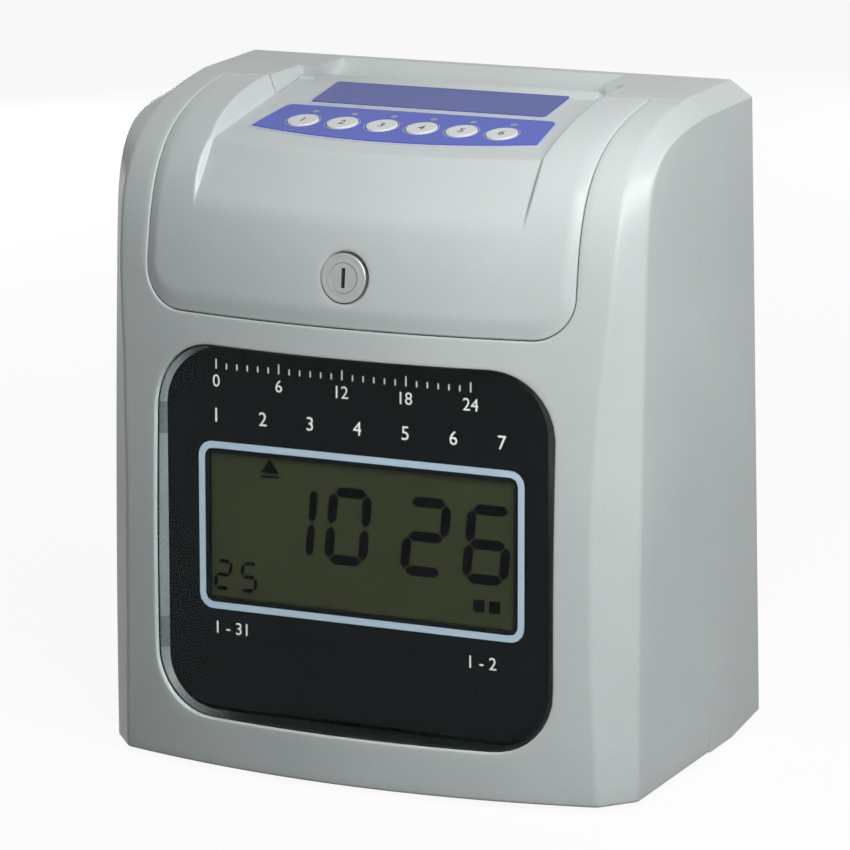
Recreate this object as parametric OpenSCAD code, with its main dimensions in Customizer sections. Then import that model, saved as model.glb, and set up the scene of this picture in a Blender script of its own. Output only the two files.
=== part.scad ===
/* [Case] */
// Width of the case across its flat sides
case_w = 238; // [232:1:244]
// Depth of the case from the middle of its front to its back
case_d = 147; // [145:1:152]
// Height of the case without its feet
case_h = 269.4; // [268:0.2:273]
// Wall thickness of the two case mouldings
case_wall = 2.6; // [2.2:0.1:3]
// How far the front bows back at its side creases
front_bow = 13; // [10:0.5:14]
// Height squared over this is how far the front leans back
front_lean = 2800; // [2600:50:3400]
// Distance from the back to the plane where the two case mouldings part
part_line_back = 51; // [49:0.5:52]
// How far the rear edge of the underside rises
tail_rise = 4; // [2:0.5:5]
// Length of the rising part of the underside
tail_run = 29; // [24:1:32]

/* [Shoulder] */
// Height of the rounded shoulder between front and top
shoulder_h = 69.4; // [66:0.2:73]
// Distance from the back to the middle of the crease where the top turns flat
crease_back = 57.5; // [55:0.5:60]
// How far the sloped side edges end below the flat top
edge_drop = 6.6; // [5:0.2:8]
// How far the side edges lie behind the middle of the front
edge_back = 26; // [24:0.5:28]

/* [Window] */
// Width of the case's front on each side of the display window
window_margin = 29.3; // [27:0.1:33]
// Height of the strip between the window and the cover
window_strip = 12.3; // [10:0.1:16]
// Height of the window's lower edge above the case's lower edge
window_z = 20; // [18:0.5:22]
// Radius of the window's upper corners
window_r_top = 28; // [22:1:32]
// Radius of the window's lower corners
window_r_low = 26; // [20:1:30]
// Width of the display glass
lcd_w = 141; // [134:1:144]
// Height of the display glass
lcd_h = 64; // [58:1:68]
// Height of the middle of the display glass above the window's middle
lcd_rise = 1.4; // [-4:0.2:5]

/* [Cover] */
// Width of the case on each side of the hinged top cover
cover_margin = 23.2; // [22:0.1:25]
// Distance from the top down to the cover's lower edge
cover_drop = 83.1; // [81:0.1:85.4]
// Radius of the cover's lower corners
cover_r = 17; // [12:1:22]
// Wall thickness of the cover
cover_t = 2.4; // [2:0.1:2.8]
// How far the cover's lower front stands proud of the case
cover_proud = 0.8; // [0.4:0.1:1.2]
// Seam between the cover and the case
seam = 0.4; // [0.3:0.05:0.6]
// Distance from the back to the cover's rear edge beside the card slot
cover_back = 49.5; // [48.5:0.5:50]

/* [Keypad recess] */
// Width of the cover on each side of the recess floor
recess_margin = 22.8; // [21.8:0.1:24.8]
// Depth of the recess floor's plane below the top at mid-depth
floor_drop = 11.7; // [10.9:0.1:12.9]
// Slope of the recess floor, rise over run
floor_slope = 0.16; // [0.14:0.005:0.18]
// Distance from the case's front to the middle of the recess's front crease
brow_back = 38; // [36.5:0.5:39.5]
// Angle of the face in front of the recess
brow_angle = 52; // [48:1:56]
// Diameter of a key
key_d = 13.2; // [11:0.2:14]
// Distance between keys
key_pitch = 17.9; // [16.5:0.1:18.5]
// Place of the key row on the way from the recess's front crease to the hinge
key_share = 0.3714; // [0.355:0.0002:0.38]
// Travel of a key
key_travel = 0.8; // [0.5:0.1:1]
// Diameter of an indicator lamp
led_d = 3; // [2.4:0.1:3.6]

/* [Lock] */
// Height of the lock above the cover's lower edge
lock_rise = 20.2; // [19:0.1:23]
// Diameter of the lock's head
lock_head_d = 20.6; // [19:0.2:22]
// Diameter of the lock's barrel
lock_barrel_d = 17; // [16:0.5:18]
// Diameter of the turning plug
lock_plug_d = 12; // [11:0.2:13]
// Length of the cam from the lock's axis
cam_len = 31; // [30:0.5:33]

/* [Card path] */
// Width of the time card with its side play
card_w = 88; // [84:1:90]
// Clear depth of the card chute
chute_gap = 5; // [4.8:0.1:5.4]
// Distance from the back to the chute's back plate
chute_back_in = 18.1; // [17.8:0.1:18.4]
// Thickness of the chute's sheet
sheet = 1.5; // [1.2:0.1:1.8]
// Distance from the top down to the middle of the printing line
print_drop = 61.4; // [60.4:0.5:63.4]
// Distance from each side of the recess floor to the card slot's end
slot_inset = 8; // [7:0.5:13]
// Width of the card slot from its front lip to its back lip
slot_gap = 6.8; // [6:0.2:7.4]
// Travel of the card carrier
lift_travel = 105; // [95:1:108]

/* [Print unit] */
// Distance between the outer faces of the chassis side frames
frame_w = 167; // [160:1:172]
// Diameter of the carriage guide shafts
shaft_d = 6; // [5:0.5:7]
// Distance between the two guide shafts
shaft_span = 26; // [25:0.5:28]
// Width of the print carriage
carriage_w = 36; // [32:1:40]
// Travel of the carriage each way from the middle
carriage_travel = 28; // [24:1:30]
// Radius of the belt pulleys
pulley_r = 7; // [6:0.5:8]

/* [Mounting] */
// Height of the rubber feet
foot_h = 2.5; // [2:0.5:4]
// Diameter of the rubber feet
foot_d = 14; // [10:1:18]
// Distance between the wall keyholes
keyhole_span = 150; // [130:1:160]
// Distance from the top down to the wall keyholes
keyhole_drop = 44.4; // [38:0.5:54]
// Width of the keyhole's narrow part
keyhole_slot = 5; // [4.5:0.1:5.5]
// Diameter of the keyhole's entry
keyhole_entry = 10; // [9:0.2:11]
// Height of the lower wall screw holes
wall_hole_z = 90; // [80:1:100]
// Diameter of the lower wall screw holes
wall_hole_d = 4.5; // [4:0.1:5.5]

/* [Hidden] */
$fn = 48;
eps = 0.01;
big = 400;
// Clearance of a shaft in its bore, on the radius
run_fit = 0.05;
// Clearance between loose neighbours
gap = 0.3;
back_y = case_d / 2;
half_w = case_w / 2;
cover_w = case_w - 2 * cover_margin;
cover_z = case_h - cover_drop;
window_w = case_w - 2 * window_margin;
window_h = cover_z - window_strip - window_z;
lcd_mid = window_z + window_h / 2 + lcd_rise;
recess_w = cover_w - 2 * recess_margin;
floor_z = case_h - floor_drop;
brow_front = case_d / 2 - brow_back;
lock_z = cover_z + lock_rise;
print_z = case_h - print_drop;
slot_w = recess_w - 2 * slot_inset;
keyhole_z = case_h - keyhole_drop;
part_y = back_y - part_line_back;
shoulder_z = case_h - shoulder_h;
// Half width at which the front's bow reaches its full depth
bow_half = 107;
// Slope and lean of the side edges of the front
edge_slope = 0.045;
edge_lean = 6890;
// Slopes at which the shoulder curves meet the top, and the lengths of their handles
crease_slope = 0.1;
edge_crease_slope = 0.06;
pull_low = 42.3;
pull_top = 59.1;
edge_pull_low = 49.5;
edge_pull_top = 55.7;
// Distance from the back to the side edges' crease
edge_crease_back = crease_back - 11;
// Height and width of the bevel between front and side
bevel_table = [[0, 12], [60, 14], [110, 14.4], [160, 12.4], [200, 9], [230, 8], [260, 9.5]];
// Share of an offset by which a 135 degree corner moves along its face
corner_share = 0.41;
rows_low = 8;
rows_shoulder = 12;
cols = 11;

// Distance by which the bowed front lies behind its middle at x
function bow(x) = front_bow * pow(x / bow_half, 2);
function front_y(z) = -case_d / 2 + z * z / front_lean;
function edge_y(z) = -case_d / 2 + edge_back + edge_slope * z + z * z / edge_lean;
function unit(v) = v / norm(v);
function out_normal(tangent) = unit([-tangent[1], tangent[0]]);
function bezier(p, t) =
    pow(1 - t, 3) * p[0] + 3 * t * pow(1 - t, 2) * p[1] + 3 * t * t * (1 - t) * p[2] + pow(t, 3) * p[3];
function bezier_tangent(p, t) =
    pow(1 - t, 2) * (p[1] - p[0]) + 2 * t * (1 - t) * (p[2] - p[1]) + t * t * (p[3] - p[2]);
function shoulder_handles(y, slope, low, end, end_slope, top) = [
    [y, shoulder_z],
    [y + slope * low, shoulder_z + low],
    [end[0] - top, end[1] - end_slope * top],
    end
];
mid_handles = shoulder_handles(
    front_y(shoulder_z), 2 * shoulder_z / front_lean, pull_low,
    [back_y - crease_back, case_h], crease_slope, pull_top
);
edge_handles = shoulder_handles(
    edge_y(shoulder_z), edge_slope + 2 * shoulder_z / edge_lean, edge_pull_low,
    [back_y - edge_crease_back, case_h - edge_drop], edge_crease_slope, edge_pull_top
);
// A proud offset fades out over the shoulder, an inward one doesn't
function fade(o, t) = o > 0 ? o * (1 - t) : o;
function low_row(z, o) = [
    [front_y(z), z] + o * out_normal([2 * z / front_lean, 1]),
    [edge_y(z), z] + corner_share * o * out_normal([edge_slope + 2 * z / edge_lean, 1]),
    lookup(z, bevel_table)
];
function shoulder_row(t, o) = [
    bezier(mid_handles, t) + fade(o, t) * out_normal(bezier_tangent(mid_handles, t)),
    bezier(edge_handles, t) + corner_share * fade(o, t) * out_normal(bezier_tangent(edge_handles, t)),
    lookup(bezier(mid_handles, t)[1], bevel_table)
];
function case_rows(o) = concat(
    [for (i = [0:rows_low]) low_row(max(0, -o) * (1 - i / rows_low) + shoulder_z * i / rows_low, o)],
    [for (i = [1:rows_shoulder]) shoulder_row(i / rows_shoulder, o)]
);
function row_points(row, o) =
    let (inner = half_w - row[2] + corner_share * o)
    concat(
        [[-half_w - o, row[1][0], row[1][1]]],
        [
            for (j = [0:cols - 1])
                let (x = inner * (2 * j / (cols - 1) - 1))
                [x, row[0][0] + bow(x), row[0][1]]
        ],
        [[half_w + o, row[1][0], row[1][1]]]
    );
function flat_points(y, z, edge_z, bevel, o) =
    let (inner = half_w - bevel + corner_share * o)
    concat(
        [[-half_w - o, y, edge_z]],
        [for (j = [0:cols - 1]) [inner * (2 * j / (cols - 1) - 1), y, z]],
        [[half_w + o, y, edge_z]]
    );
// Faces of a closed ring of rows with a flat cap at each end of the rows
function ring_faces(n, m) = concat(
    [for (i = [0:n - 1], j = [0:m - 2]) [i * m + j, ((i + 1) % n) * m + j, i * m + j + 1]],
    [for (i = [0:n - 1], j = [0:m - 2]) [i * m + j + 1, ((i + 1) % n) * m + j, ((i + 1) % n) * m + j + 1]],
    [[for (i = [n - 1:-1:0]) i * m]],
    [[for (i = [0:n - 1]) i * m + m - 1]]
);
// The case's outer form, moved out by o, or in where o is negative
module case_form(o) {
    rows = case_rows(o);
    last = rows[len(rows) - 1];
    low = max(0, -o);
    points = concat(
        [for (row = rows) row_points(row, o)],
        [flat_points(back_y + o, last[0][1], last[1][1], last[2], o)],
        [flat_points(back_y + o, low, low, last[2], o)]
    );
    polyhedron([for (row = points) each row], ring_faces(len(points), cols + 2), 4);
}

// Everything sits on the feet
module raised() {
    translate([0, 0, foot_h]) children();
}
// Turns a flat outline into a plate that runs from y_front to y_back
module front_extrude(y_front, y_back) {
    translate([0, y_back, 0]) rotate([90, 0, 0]) linear_extrude(y_back - y_front) children();
}
module y_cylinder(r, y_front, y_back) {
    translate([0, y_back, 0]) rotate([90, 0, 0]) cylinder(r = r, h = y_back - y_front);
}
module x_cylinder(r, x_low, x_high) {
    translate([x_low, 0, 0]) rotate([0, 90, 0]) cylinder(r = r, h = x_high - x_low);
}
module box(low, high) {
    translate(low) cube(high - low);
}
// A rectangle from low to high with its own radius on the upper and lower corners
module rounded_outline(low, high, r_low, r_high) {
    translate([low[0] + r_low, low[1]]) square([high[0] - low[0] - 2 * r_low, r_low + eps]);
    translate([low[0] + r_high, high[1] - r_high]) square([high[0] - low[0] - 2 * r_high, r_high]);
    translate([low[0], low[1] + r_low]) square([high[0] - low[0], high[1] - low[1] - r_low - r_high]);
    for (s = [0, 1]) {
        translate([s == 0 ? low[0] + r_low : high[0] - r_low, low[1] + r_low]) circle(r_low);
        translate([s == 0 ? low[0] + r_high : high[0] - r_high, high[1] - r_high]) circle(r_high);
    }
}
module window_outline(grow) {
    rounded_outline(
        [-window_w / 2 - grow, window_z - grow],
        [window_w / 2 + grow, window_z + window_h + grow],
        window_r_low + grow, window_r_top + grow
    );
}
module window_prism(grow) {
    front_extrude(-case_d, 0) window_outline(grow);
}

// The cover's outline seen from the front, open upwards
module cover_prism(grow, rear) {
    front_extrude(-case_d, rear)
        rounded_outline(
            [-cover_w / 2 - grow, cover_z - grow],
            [cover_w / 2 + grow, 2 * case_h],
            cover_r + grow, cover_r
        );
}
cover_rear_y = back_y - cover_back;
// The rear edge of the cover leans, so that it clears the case as it opens
cover_rake = 16;
module cover_rear_half() {
    translate([-half_w, cover_rear_y, case_h]) rotate([-cover_rake, 0, 0])
        translate([0, 0, -big / 2]) cube([case_w, big, big]);
}

// Keypad recess
floor_tilt = atan(floor_slope);
hinge_back = 28.5;
hinge_drop = 6.9;
hinge_y = back_y - hinge_back;
key_y = key_share * (hinge_y + brow_front) - brow_front;
hinge_z = case_h - hinge_drop;
hinge_pin_d = 3;
knuckle_r = 3.2;
// Distance from the hinge's axis to the back of the cover's rim
rim_reach = 2.6;
tongue_gap = 0.6;
recess_end_y = hinge_y + rim_reach;
recess_half = recess_w / 2;
tongue_half = recess_half - tongue_gap;
// Width and height of the steep side of the recess
side_run = 4;
side_rise = 12.6;
side_lean = tan(atan2(side_rise, side_run) / 2);
brow_len = 42;
function floor_at(y) = floor_z + floor_slope * y;
floor_normal = out_normal([1, floor_slope]);
brow_dir = [cos(brow_angle), sin(brow_angle)];
brow_normal = out_normal(brow_dir);
// Outline of the recess in the plane of one section, moved out by o
function recess_section(x, lift, o) =
    let (
        front = [-brow_front + bow(x), floor_at(-brow_front + bow(x)) + lift],
        corner = front + o * (brow_normal + floor_normal) / (1 + brow_normal * floor_normal),
        foot = corner - brow_len * brow_dir,
        end_z = floor_at(recess_end_y - o) + lift + o * norm([1, floor_slope])
    )
    [
        [x, foot[0], foot[1]],
        [x, corner[0], corner[1]],
        [x, recess_end_y - o, end_z],
        [x, recess_end_y - o, 2 * case_h],
        [x, -case_d, 2 * case_h],
        [x, -case_d, foot[1]]
    ];
recess_xs = [-1, -0.66, -0.33, 0, 0.33, 0.66, 1];
module recess_form(o) {
    half = recess_half - o * side_lean;
    xs = concat([-half - side_run], [for (f = recess_xs) f * half], [half + side_run]);
    sections = [for (x = xs) recess_section(x, max(0, abs(x) - half) * side_rise / side_run, o)];
    n = len(sections);
    polyhedron([for (s = sections) each s], concat(
        [for (i = [0:n - 2], j = [0:5]) [i * 6 + (j + 1) % 6, i * 6 + j, (i + 1) * 6 + j]],
        [for (i = [0:n - 2], j = [0:5]) [(i + 1) * 6 + (j + 1) % 6, i * 6 + (j + 1) % 6, (i + 1) * 6 + j]],
        [[0, 1, 2, 3, 4, 5]],
        [[for (j = [5:-1:0]) (n - 1) * 6 + j]]
    ), 4);
}
// Places things on the recess floor: y runs up the floor, z stands off it
module on_floor() {
    translate([0, 0, floor_z]) rotate([floor_tilt, 0, 0]) children();
}
module each_key() {
    for (i = [0:5]) translate([(i - 2.5) * key_pitch, key_y / cos(floor_tilt), 0]) children();
}
// Distance of the lamps behind the keys
led_step = 11.3;
module each_led() {
    for (i = [0:5]) translate([(i - 2.5) * key_pitch, key_y + led_step, 0]) children();
}

// Lock
lock_tilt = atan(2 * lock_z / front_lean);
pocket_ring = 1.2;
lock_pocket_d = lock_head_d + 2 * pocket_ring;
lock_inset = 1.6;
lock_proud = 1;
barrel_depth = 16;
nut_h = 3.5;
nut_r = 13.4;
// Clearance of a threaded or pressed piece in its hole
snug = 0.05;
// Clearance round the nut in the flat that is cut for it inside the curved cover
nut_room = 1;
tail_r = 3;
tail_len = 4;
cam_t = 1.6;
cam_w = 10;
cam_hub_r = 7;
cam_set = 1.4;
cam_back = -barrel_depth - cam_set;
key_slot_w = 1.6;
key_slot_h = 8;
key_slot_depth = 6;
// Places things on the lock's axis: z points out of the front
module on_lock() {
    translate([0, front_y(lock_z) - cover_proud * cos(lock_tilt), lock_z])
        rotate([90 - lock_tilt, 0, 0]) children();
}

// Card path, from front to back
chute_back_y = back_y - chute_back_in;
chute_front_y = chute_back_y - chute_gap;
slot_back_in = 18.5;
slot_back_y = back_y - slot_back_in;
slot_front_y = slot_back_y - slot_gap;
funnel_r = 18;
funnel_drop = 6.9;
funnel_z = case_h - funnel_drop;
chute_drop = 11.4;
chute_top_z = case_h - chute_drop;
// Opening in the chute's front at the printing line, below and above it
print_low = 12;
print_high = 13;
front_low_top = print_z - print_low;
front_up_low = print_z + print_high;
rail_w = 6;
rail_drop = 2;
chute_ear = 8;
screw_off = 4.5;
screw_y = chute_back_y + sheet + screw_off;
screw_r = 3;
journal_r = 2;
coupling_r = 1.5;
coupling_len = 14;
motor_r = 9;
motor_len = 20;
motor_bore = 15;
carrier_h = 12;
carrier_half = 18;
carrier_play = 0.4;
carrier_neck = 3.6;
carrier_nut = 8;
carrier_wall = 5.5;
carrier_drop = 4;
carrier_top = front_low_top - carrier_drop;
lift_slot_w = 9;
slot_over = 3;
lift_slot_low = carrier_top - carrier_h - lift_travel - slot_over;
chute_foot = 12.5;
chute_low_z = lift_slot_low - chute_foot;
bearing_rise = 12;
bearing_z = carrier_top + bearing_rise;
bearing_h = 5;
bearing_half = 9;
bracket_half = 20;
sensor_drop = 46;
sensor_low = [26, front_low_top - sensor_drop];
sensor_size = [12, 8];
sensor_t = 5;

// Chassis
base_z = case_wall;
frame_x = frame_w / 2;
frame_in = frame_x - sheet;
// Distances of the side frames from the chute, the back and the top
frame_reach = 48.4;
frame_back_in = 11.5;
frame_drop = 31.4;
frame_front_y = chute_front_y - frame_reach;
frame_back_y = back_y - frame_back_in;
frame_top_z = case_h - frame_drop;
frame_step = 10;
flange_w = 10;
foot_flange_in = 4;
shaft_over = 1.5;
board_h = 112;
board_drop = 14;
board_high = front_low_top - board_drop;
board_low = board_high - board_h;
board_t = 1.6;
board_side = 1;
// Distances of the base plate from the case's front, back and sides
plate_front_in = 27.5;
plate_back_in = 31.5;
plate_side_in = 21;
plate_front = -case_d / 2 + plate_front_in;
plate_back = back_y - plate_back_in;
plate_half = half_w - plate_side_in;
base_screw_in = [10, 6];
base_screw_ys = [frame_front_y + base_screw_in[0], plate_back - base_screw_in[1]];
// Small screws: shank, head and hole radii
shank_r = 1.6;
hole_r = 1.7;
screw_head_r = 3;
screw_head_h = 2;
board_shank_r = 1.35;
board_hole_r = 1.4;
board_screw_in = 8;

// Print unit
shaft_front = 22.4;
shaft_y = chute_front_y - shaft_front;
shaft_low_z = print_z - shaft_span / 2;
shaft_high_z = print_z + shaft_span / 2;
carriage_t = 14;
carriage_skirt = 3;
carriage_head = 2.5;
carriage_front = shaft_y - carriage_t / 2;
carriage_back = shaft_y + carriage_t / 2;
carriage_low = shaft_low_z - shaft_d / 2 - carriage_skirt;
carriage_high = shaft_high_z + shaft_d / 2 + carriage_head;
clip_half = 7;
clip_lip = 2;
belt_front = 16;
belt_y = shaft_y - belt_front;
belt_t = 0.8;
belt_w = 5;
belt_drop = 2;
belt_z = print_z - belt_drop;
// Distance from the carriage's end stop to the axis of each pulley
belt_overrun = 20;
pulley_x = carriage_w / 2 + carriage_travel + belt_overrun;
pulley_h = 8;
pulley_flange = 1.5;
pulley_flange_t = 1.2;
belt_play = 0.1;
pulley_low = belt_z - pulley_h / 2;
drive_shaft_r = 1;
idler_r = 2;
idler_foot_r = 4;
carriage_motor_r = 8;
carriage_motor_bore = 14;
cross_z = print_z - print_low;
cross_reach = [8.5, 8];
cross_front = belt_y - cross_reach[0];
cross_back = belt_y + cross_reach[1];
motor_hole_r = 3.5;
cross_flange = 12;
head_half = 13;
head_t = 9;
head_tiers = [[9, 6], [3, 4]];
head_step = 2;
nose_gap = 0.25;
tray_gap = 0.8;
tray_z = carriage_high + tray_gap;
tray_t = 1.2;
cassette_z = tray_z + tray_t;
cassette_h = 13;
cassette_half = 60;
cassette_gap = 8.4;
cassette_d = 42;
cassette_back = chute_front_y - cassette_gap;
cassette_front = cassette_back - cassette_d;
tray_in = [3, 6];
tray_front = cassette_front + tray_in[0];
tray_back = cassette_back - tray_in[1];
ribbon_gap = 0.5;
ribbon_y = chute_front_y - ribbon_gap;
ribbon_t = 0.25;
ribbon_w = 12;
arm_w = 8;
arm_root = 5;
arm_lip = 1;
hub_x = 40;
hub_in = 14;
hub_y = cassette_back - hub_in;
hub_r = 8;
hub_h = 5;
hub_pin_r = 2;
hub_pin_low = 3;
grip_r = 1.4;
grip_out = 0.6;

// Display, from front to back in the display panel's own tilted plane
panel_back = 11.9;
panel_y = -case_d / 2 + panel_back;
panel_slope = 0.055;
panel_tilt = atan(panel_slope);
panel_t = 1.5;
holder_t = 4.4;
holder_in = 1;
glass_t = 2.8;
glass_lap = 2;
lens_t = 2;
lens_set = 0.5;
lens_gap = 0.35;
panel_inset = 2.6;
// Places of the posts and edges of the board, beside, above and below the window's edges
post_side = 7.3;
post_in = [10, 26];
post_x = window_w / 2 + post_side;
post_zs = [window_z + post_in[0], window_z + window_h - post_in[1]];
post_d = 7;
// Depths of the posts' pilot holes and screws behind the panel's front
post_pilot = 2.8;
post_reach = 20;
pilot_r = 1.3;
post_shank_r = 1.25;
post_head_h = 1.8;
display_side = 11.8;
display_in = 4;
display_half = window_w / 2 + display_side;
display_low = window_z + display_in;
display_high = window_z + window_h - display_in;
lcd_x = 2;
module on_panel() {
    translate([0, panel_y, 0]) rotate([-panel_tilt, 0, 0]) children();
}
module each_post() {
    for (x = [-post_x, post_x], z = post_zs) translate([x, 0, z]) children();
}

// Case screws run from the back into pillars of the front moulding
pillar_side = 11;
pillar_ends = [20, 26.4];
pillar_len = 16.5;
pillar_x = half_w - pillar_side;
pillar_zs = [pillar_ends[0], case_h - pillar_ends[1]];
pillar_d = 10;
pillar_front = part_y - pillar_len;
pillar_pilot_r = 1.7;
pillar_shank_r = 1.65;
pillar_floor = 4;
rib_len = 12;
rib_t = 2;
screw_d = 4;
head_d = 7.6;
head_h = 3;
sink_depth = 5;
module each_pillar() {
    for (x = [-pillar_x, pillar_x], z = pillar_zs) translate([x, 0, z]) children();
}
ledge_w = 5;
ledge_t = 2;
ledge_gap = 0.7;
ledge_drop = cover_t + ledge_gap;
ledge_back = 2;

module front_case() {
    raised() color("gainsboro") difference() {
        union() {
            difference() {
                case_form(0);
                case_form(-case_wall);
                cover_prism(seam, back_y);
                box([-big, part_y, -big], [big, big, big]);
            }
            cover_ledge();
            intersection() {
                case_form(-case_wall / 2);
                on_panel() each_post() y_cylinder(post_d / 2, -post_reach, panel_t + holder_t);
            }
            intersection() {
                case_form(-case_wall / 2);
                each_pillar() {
                    y_cylinder(pillar_d / 2, pillar_front, part_y);
                    box([-rib_len, pillar_front, -rib_t / 2], [rib_len, part_y, rib_t / 2]);
                }
            }
        }
        window_prism(0);
        on_panel() each_post() y_cylinder(pilot_r, post_pilot, post_reach);
        each_pillar() y_cylinder(pillar_pilot_r, pillar_front + pillar_floor, part_y + eps);
    }
}
// The ledge that the cover closes on, a ring one step below its skin
module cover_ledge() {
    difference() {
        case_form(-case_wall + eps);
        case_form(-ledge_drop - ledge_t);
        difference() {
            cover_prism(seam, back_y);
            case_form(-ledge_drop);
        }
        cover_prism(-ledge_w, back_y);
        difference() {
            box([-big, -big, -big], [big, big, big]);
            cover_prism(seam + ledge_back, big / 2);
        }
        box([-big, part_y, -big], [big, big, big]);
    }
}

shelf_drop = 0.3;
shelf_front = 3;
shelf_side = 1;
rim_clear = 0.8;
notch_depth = 12;
pin_seat = 0.02;
pin_out = 11;
pin_in = 8;
pin_end_gap = 1;
block_front = 6;
block_drop = 6;
block_w = 14;
module rear_case() {
    raised() color("gainsboro") difference() {
        union() {
            difference() {
                case_form(0);
                difference() {
                    case_form(-case_wall);
                    recess_form(-case_wall);
                    tail_wedge(case_wall);
                    slot_shelf();
                    hinge_blocks();
                }
                box(
                    [-recess_half, part_y - eps, chute_low_z],
                    [recess_half, recess_end_y + rim_clear, big]
                );
            }
            intersection() {
                case_form(-case_wall / 2);
                each_pillar() y_cylinder(pillar_d / 2, part_y, back_y - case_wall / 2);
            }
        }
        box([-big, -big, -big], [big, part_y, big]);
        box(
            [-cover_w / 2 - seam, part_y - eps, case_h - notch_depth],
            [cover_w / 2 + seam, cover_rear_y + seam, big]
        );
        recess_form(0);
        box([-slot_w / 2, recess_end_y, chute_low_z], [slot_w / 2, slot_back_y, big]);
        translate([0, slot_back_y, funnel_z + funnel_r]) x_cylinder(funnel_r, -slot_w / 2, slot_w / 2);
        tail_wedge(0);
        translate([0, hinge_y, hinge_z])
            x_cylinder(
                hinge_pin_d / 2 + pin_seat,
                -recess_half - pin_out - pin_end_gap, recess_half + pin_out + pin_end_gap
            );
        each_pillar() y_cylinder(screw_d / 2 + 0.2, -big, big);
        each_pillar() y_cylinder(head_d / 2 + gap, back_y - sink_depth, big);
        wall_holes();
        inlet_block(gap, back_y + gap);
    }
}
module slot_shelf() {
    box(
        [-recess_half - shelf_side, slot_front_y - shelf_front, chute_top_z + shelf_drop],
        [recess_half + shelf_side, back_y, case_h]
    );
}
module hinge_blocks() {
    for (s = [-1, 1]) mirror([s < 0 ? 1 : 0, 0, 0])
        box(
            [recess_half, hinge_y - block_front, hinge_z - block_drop],
            [recess_half + block_w, back_y, case_h]
        );
}
// The space under the underside's rising tail
module tail_wedge(lift) {
    translate([-big / 2, back_y - tail_run, lift]) rotate([90, 0, 90])
        linear_extrude(big)
            polygon([[0, 0], [tail_run * 2, tail_rise * 2], [tail_run * 2, -big], [0, -big]]);
}
module wall_holes() {
    wall_front = back_y - case_wall - 1;
    for (x = [-keyhole_span / 2, keyhole_span / 2]) {
        translate([x, 0, keyhole_z]) y_cylinder(keyhole_entry / 2, wall_front, big);
        translate([x, 0, keyhole_z + keyhole_entry]) y_cylinder(keyhole_slot / 2, wall_front, big);
        box(
            [x - keyhole_slot / 2, wall_front, keyhole_z],
            [x + keyhole_slot / 2, big, keyhole_z + keyhole_entry]
        );
        translate([x, 0, wall_hole_z]) y_cylinder(wall_hole_d / 2, wall_front, big);
    }
}

foot_in = [23, 31.5, 35.5];
foot_x = half_w - foot_in[0];
foot_front = -case_d / 2 + foot_in[1];
foot_back = back_y - foot_in[2];
module feet() {
    color("dimgray") for (x = [-foot_x, foot_x], y = [foot_front, foot_back])
        translate([x, y, 0]) cylinder(d = foot_d, h = foot_h);
}

module case_screws() {
    raised() color("silver") each_pillar() {
        y_cylinder(head_d / 2, back_y - sink_depth, back_y - sink_depth + head_h);
        y_cylinder(pillar_shank_r, pillar_front + pillar_floor + 2, back_y - sink_depth);
    }
}

module lens_window() {
    raised() color([0.75, 0.8, 0.85, 0.35]) intersection() {
        window_prism(-lens_gap);
        difference() {
            case_form(-lens_set);
            intersection() {
                case_form(-lens_set - lens_t);
                window_prism(-lens_gap - lens_t);
            }
            on_panel() box([-big, 0, -big], [big, big, big]);
        }
    }
}

module panel_outline(grow) {
    rounded_outline(
        [-window_w / 2 + panel_inset - grow, window_z + panel_inset - grow],
        [window_w / 2 - panel_inset + grow, window_z + window_h - panel_inset + grow],
        window_r_low - panel_inset + grow, window_r_top - panel_inset + grow
    );
}
module lcd_box(grow, y_front, y_back) {
    box(
        [lcd_x - lcd_w / 2 - grow, y_front, lcd_mid - lcd_h / 2 - grow],
        [lcd_x + lcd_w / 2 + grow, y_back, lcd_mid + lcd_h / 2 + grow]
    );
}
module display_panel() {
    raised() color([0.1, 0.11, 0.12]) on_panel() difference() {
        front_extrude(0, panel_t) panel_outline(0);
        lcd_box(-glass_lap, -1, panel_t + 1);
    }
}
module lcd_holder() {
    raised() color([0.85, 0.85, 0.82]) on_panel() difference() {
        front_extrude(panel_t, panel_t + holder_t) panel_outline(-holder_in);
        lcd_box(gap, panel_t - 1, panel_t + holder_t + 1);
    }
}
module lcd_glass() {
    raised() color([0.25, 0.25, 0.18]) on_panel() lcd_box(0, panel_t, panel_t + glass_t);
}
board_front = panel_t + holder_t;
module display_board() {
    raised() color([0.1, 0.35, 0.2]) on_panel() difference() {
        box([-display_half, board_front, display_low], [display_half, board_front + board_t, display_high]);
        each_post() y_cylinder(hole_r, 0, post_reach);
    }
}
module display_screws() {
    board_back = board_front + board_t;
    raised() color("silver") on_panel() each_post() {
        y_cylinder(post_shank_r, post_pilot + gap, board_back);
        y_cylinder(screw_head_r, board_back, board_back + post_head_h);
    }
}

module each_base_screw() {
    screw_x = frame_in - flange_w / 2;
    for (x = [-screw_x, screw_x], y = base_screw_ys) translate([x, y, 0]) children();
}
module base_plate() {
    raised() color("lightgray") difference() {
        box([-plate_half, plate_front, base_z], [plate_half, plate_back, base_z + sheet]);
        each_base_screw() cylinder(r = hole_r, h = big / 8, center = true);
    }
}
module base_screws() {
    raised() color("silver") each_base_screw() {
        translate([0, 0, base_z]) cylinder(r = shank_r, h = 2 * sheet);
        translate([0, 0, base_z + 2 * sheet]) cylinder(r = screw_head_r, h = screw_head_h);
    }
}

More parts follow.
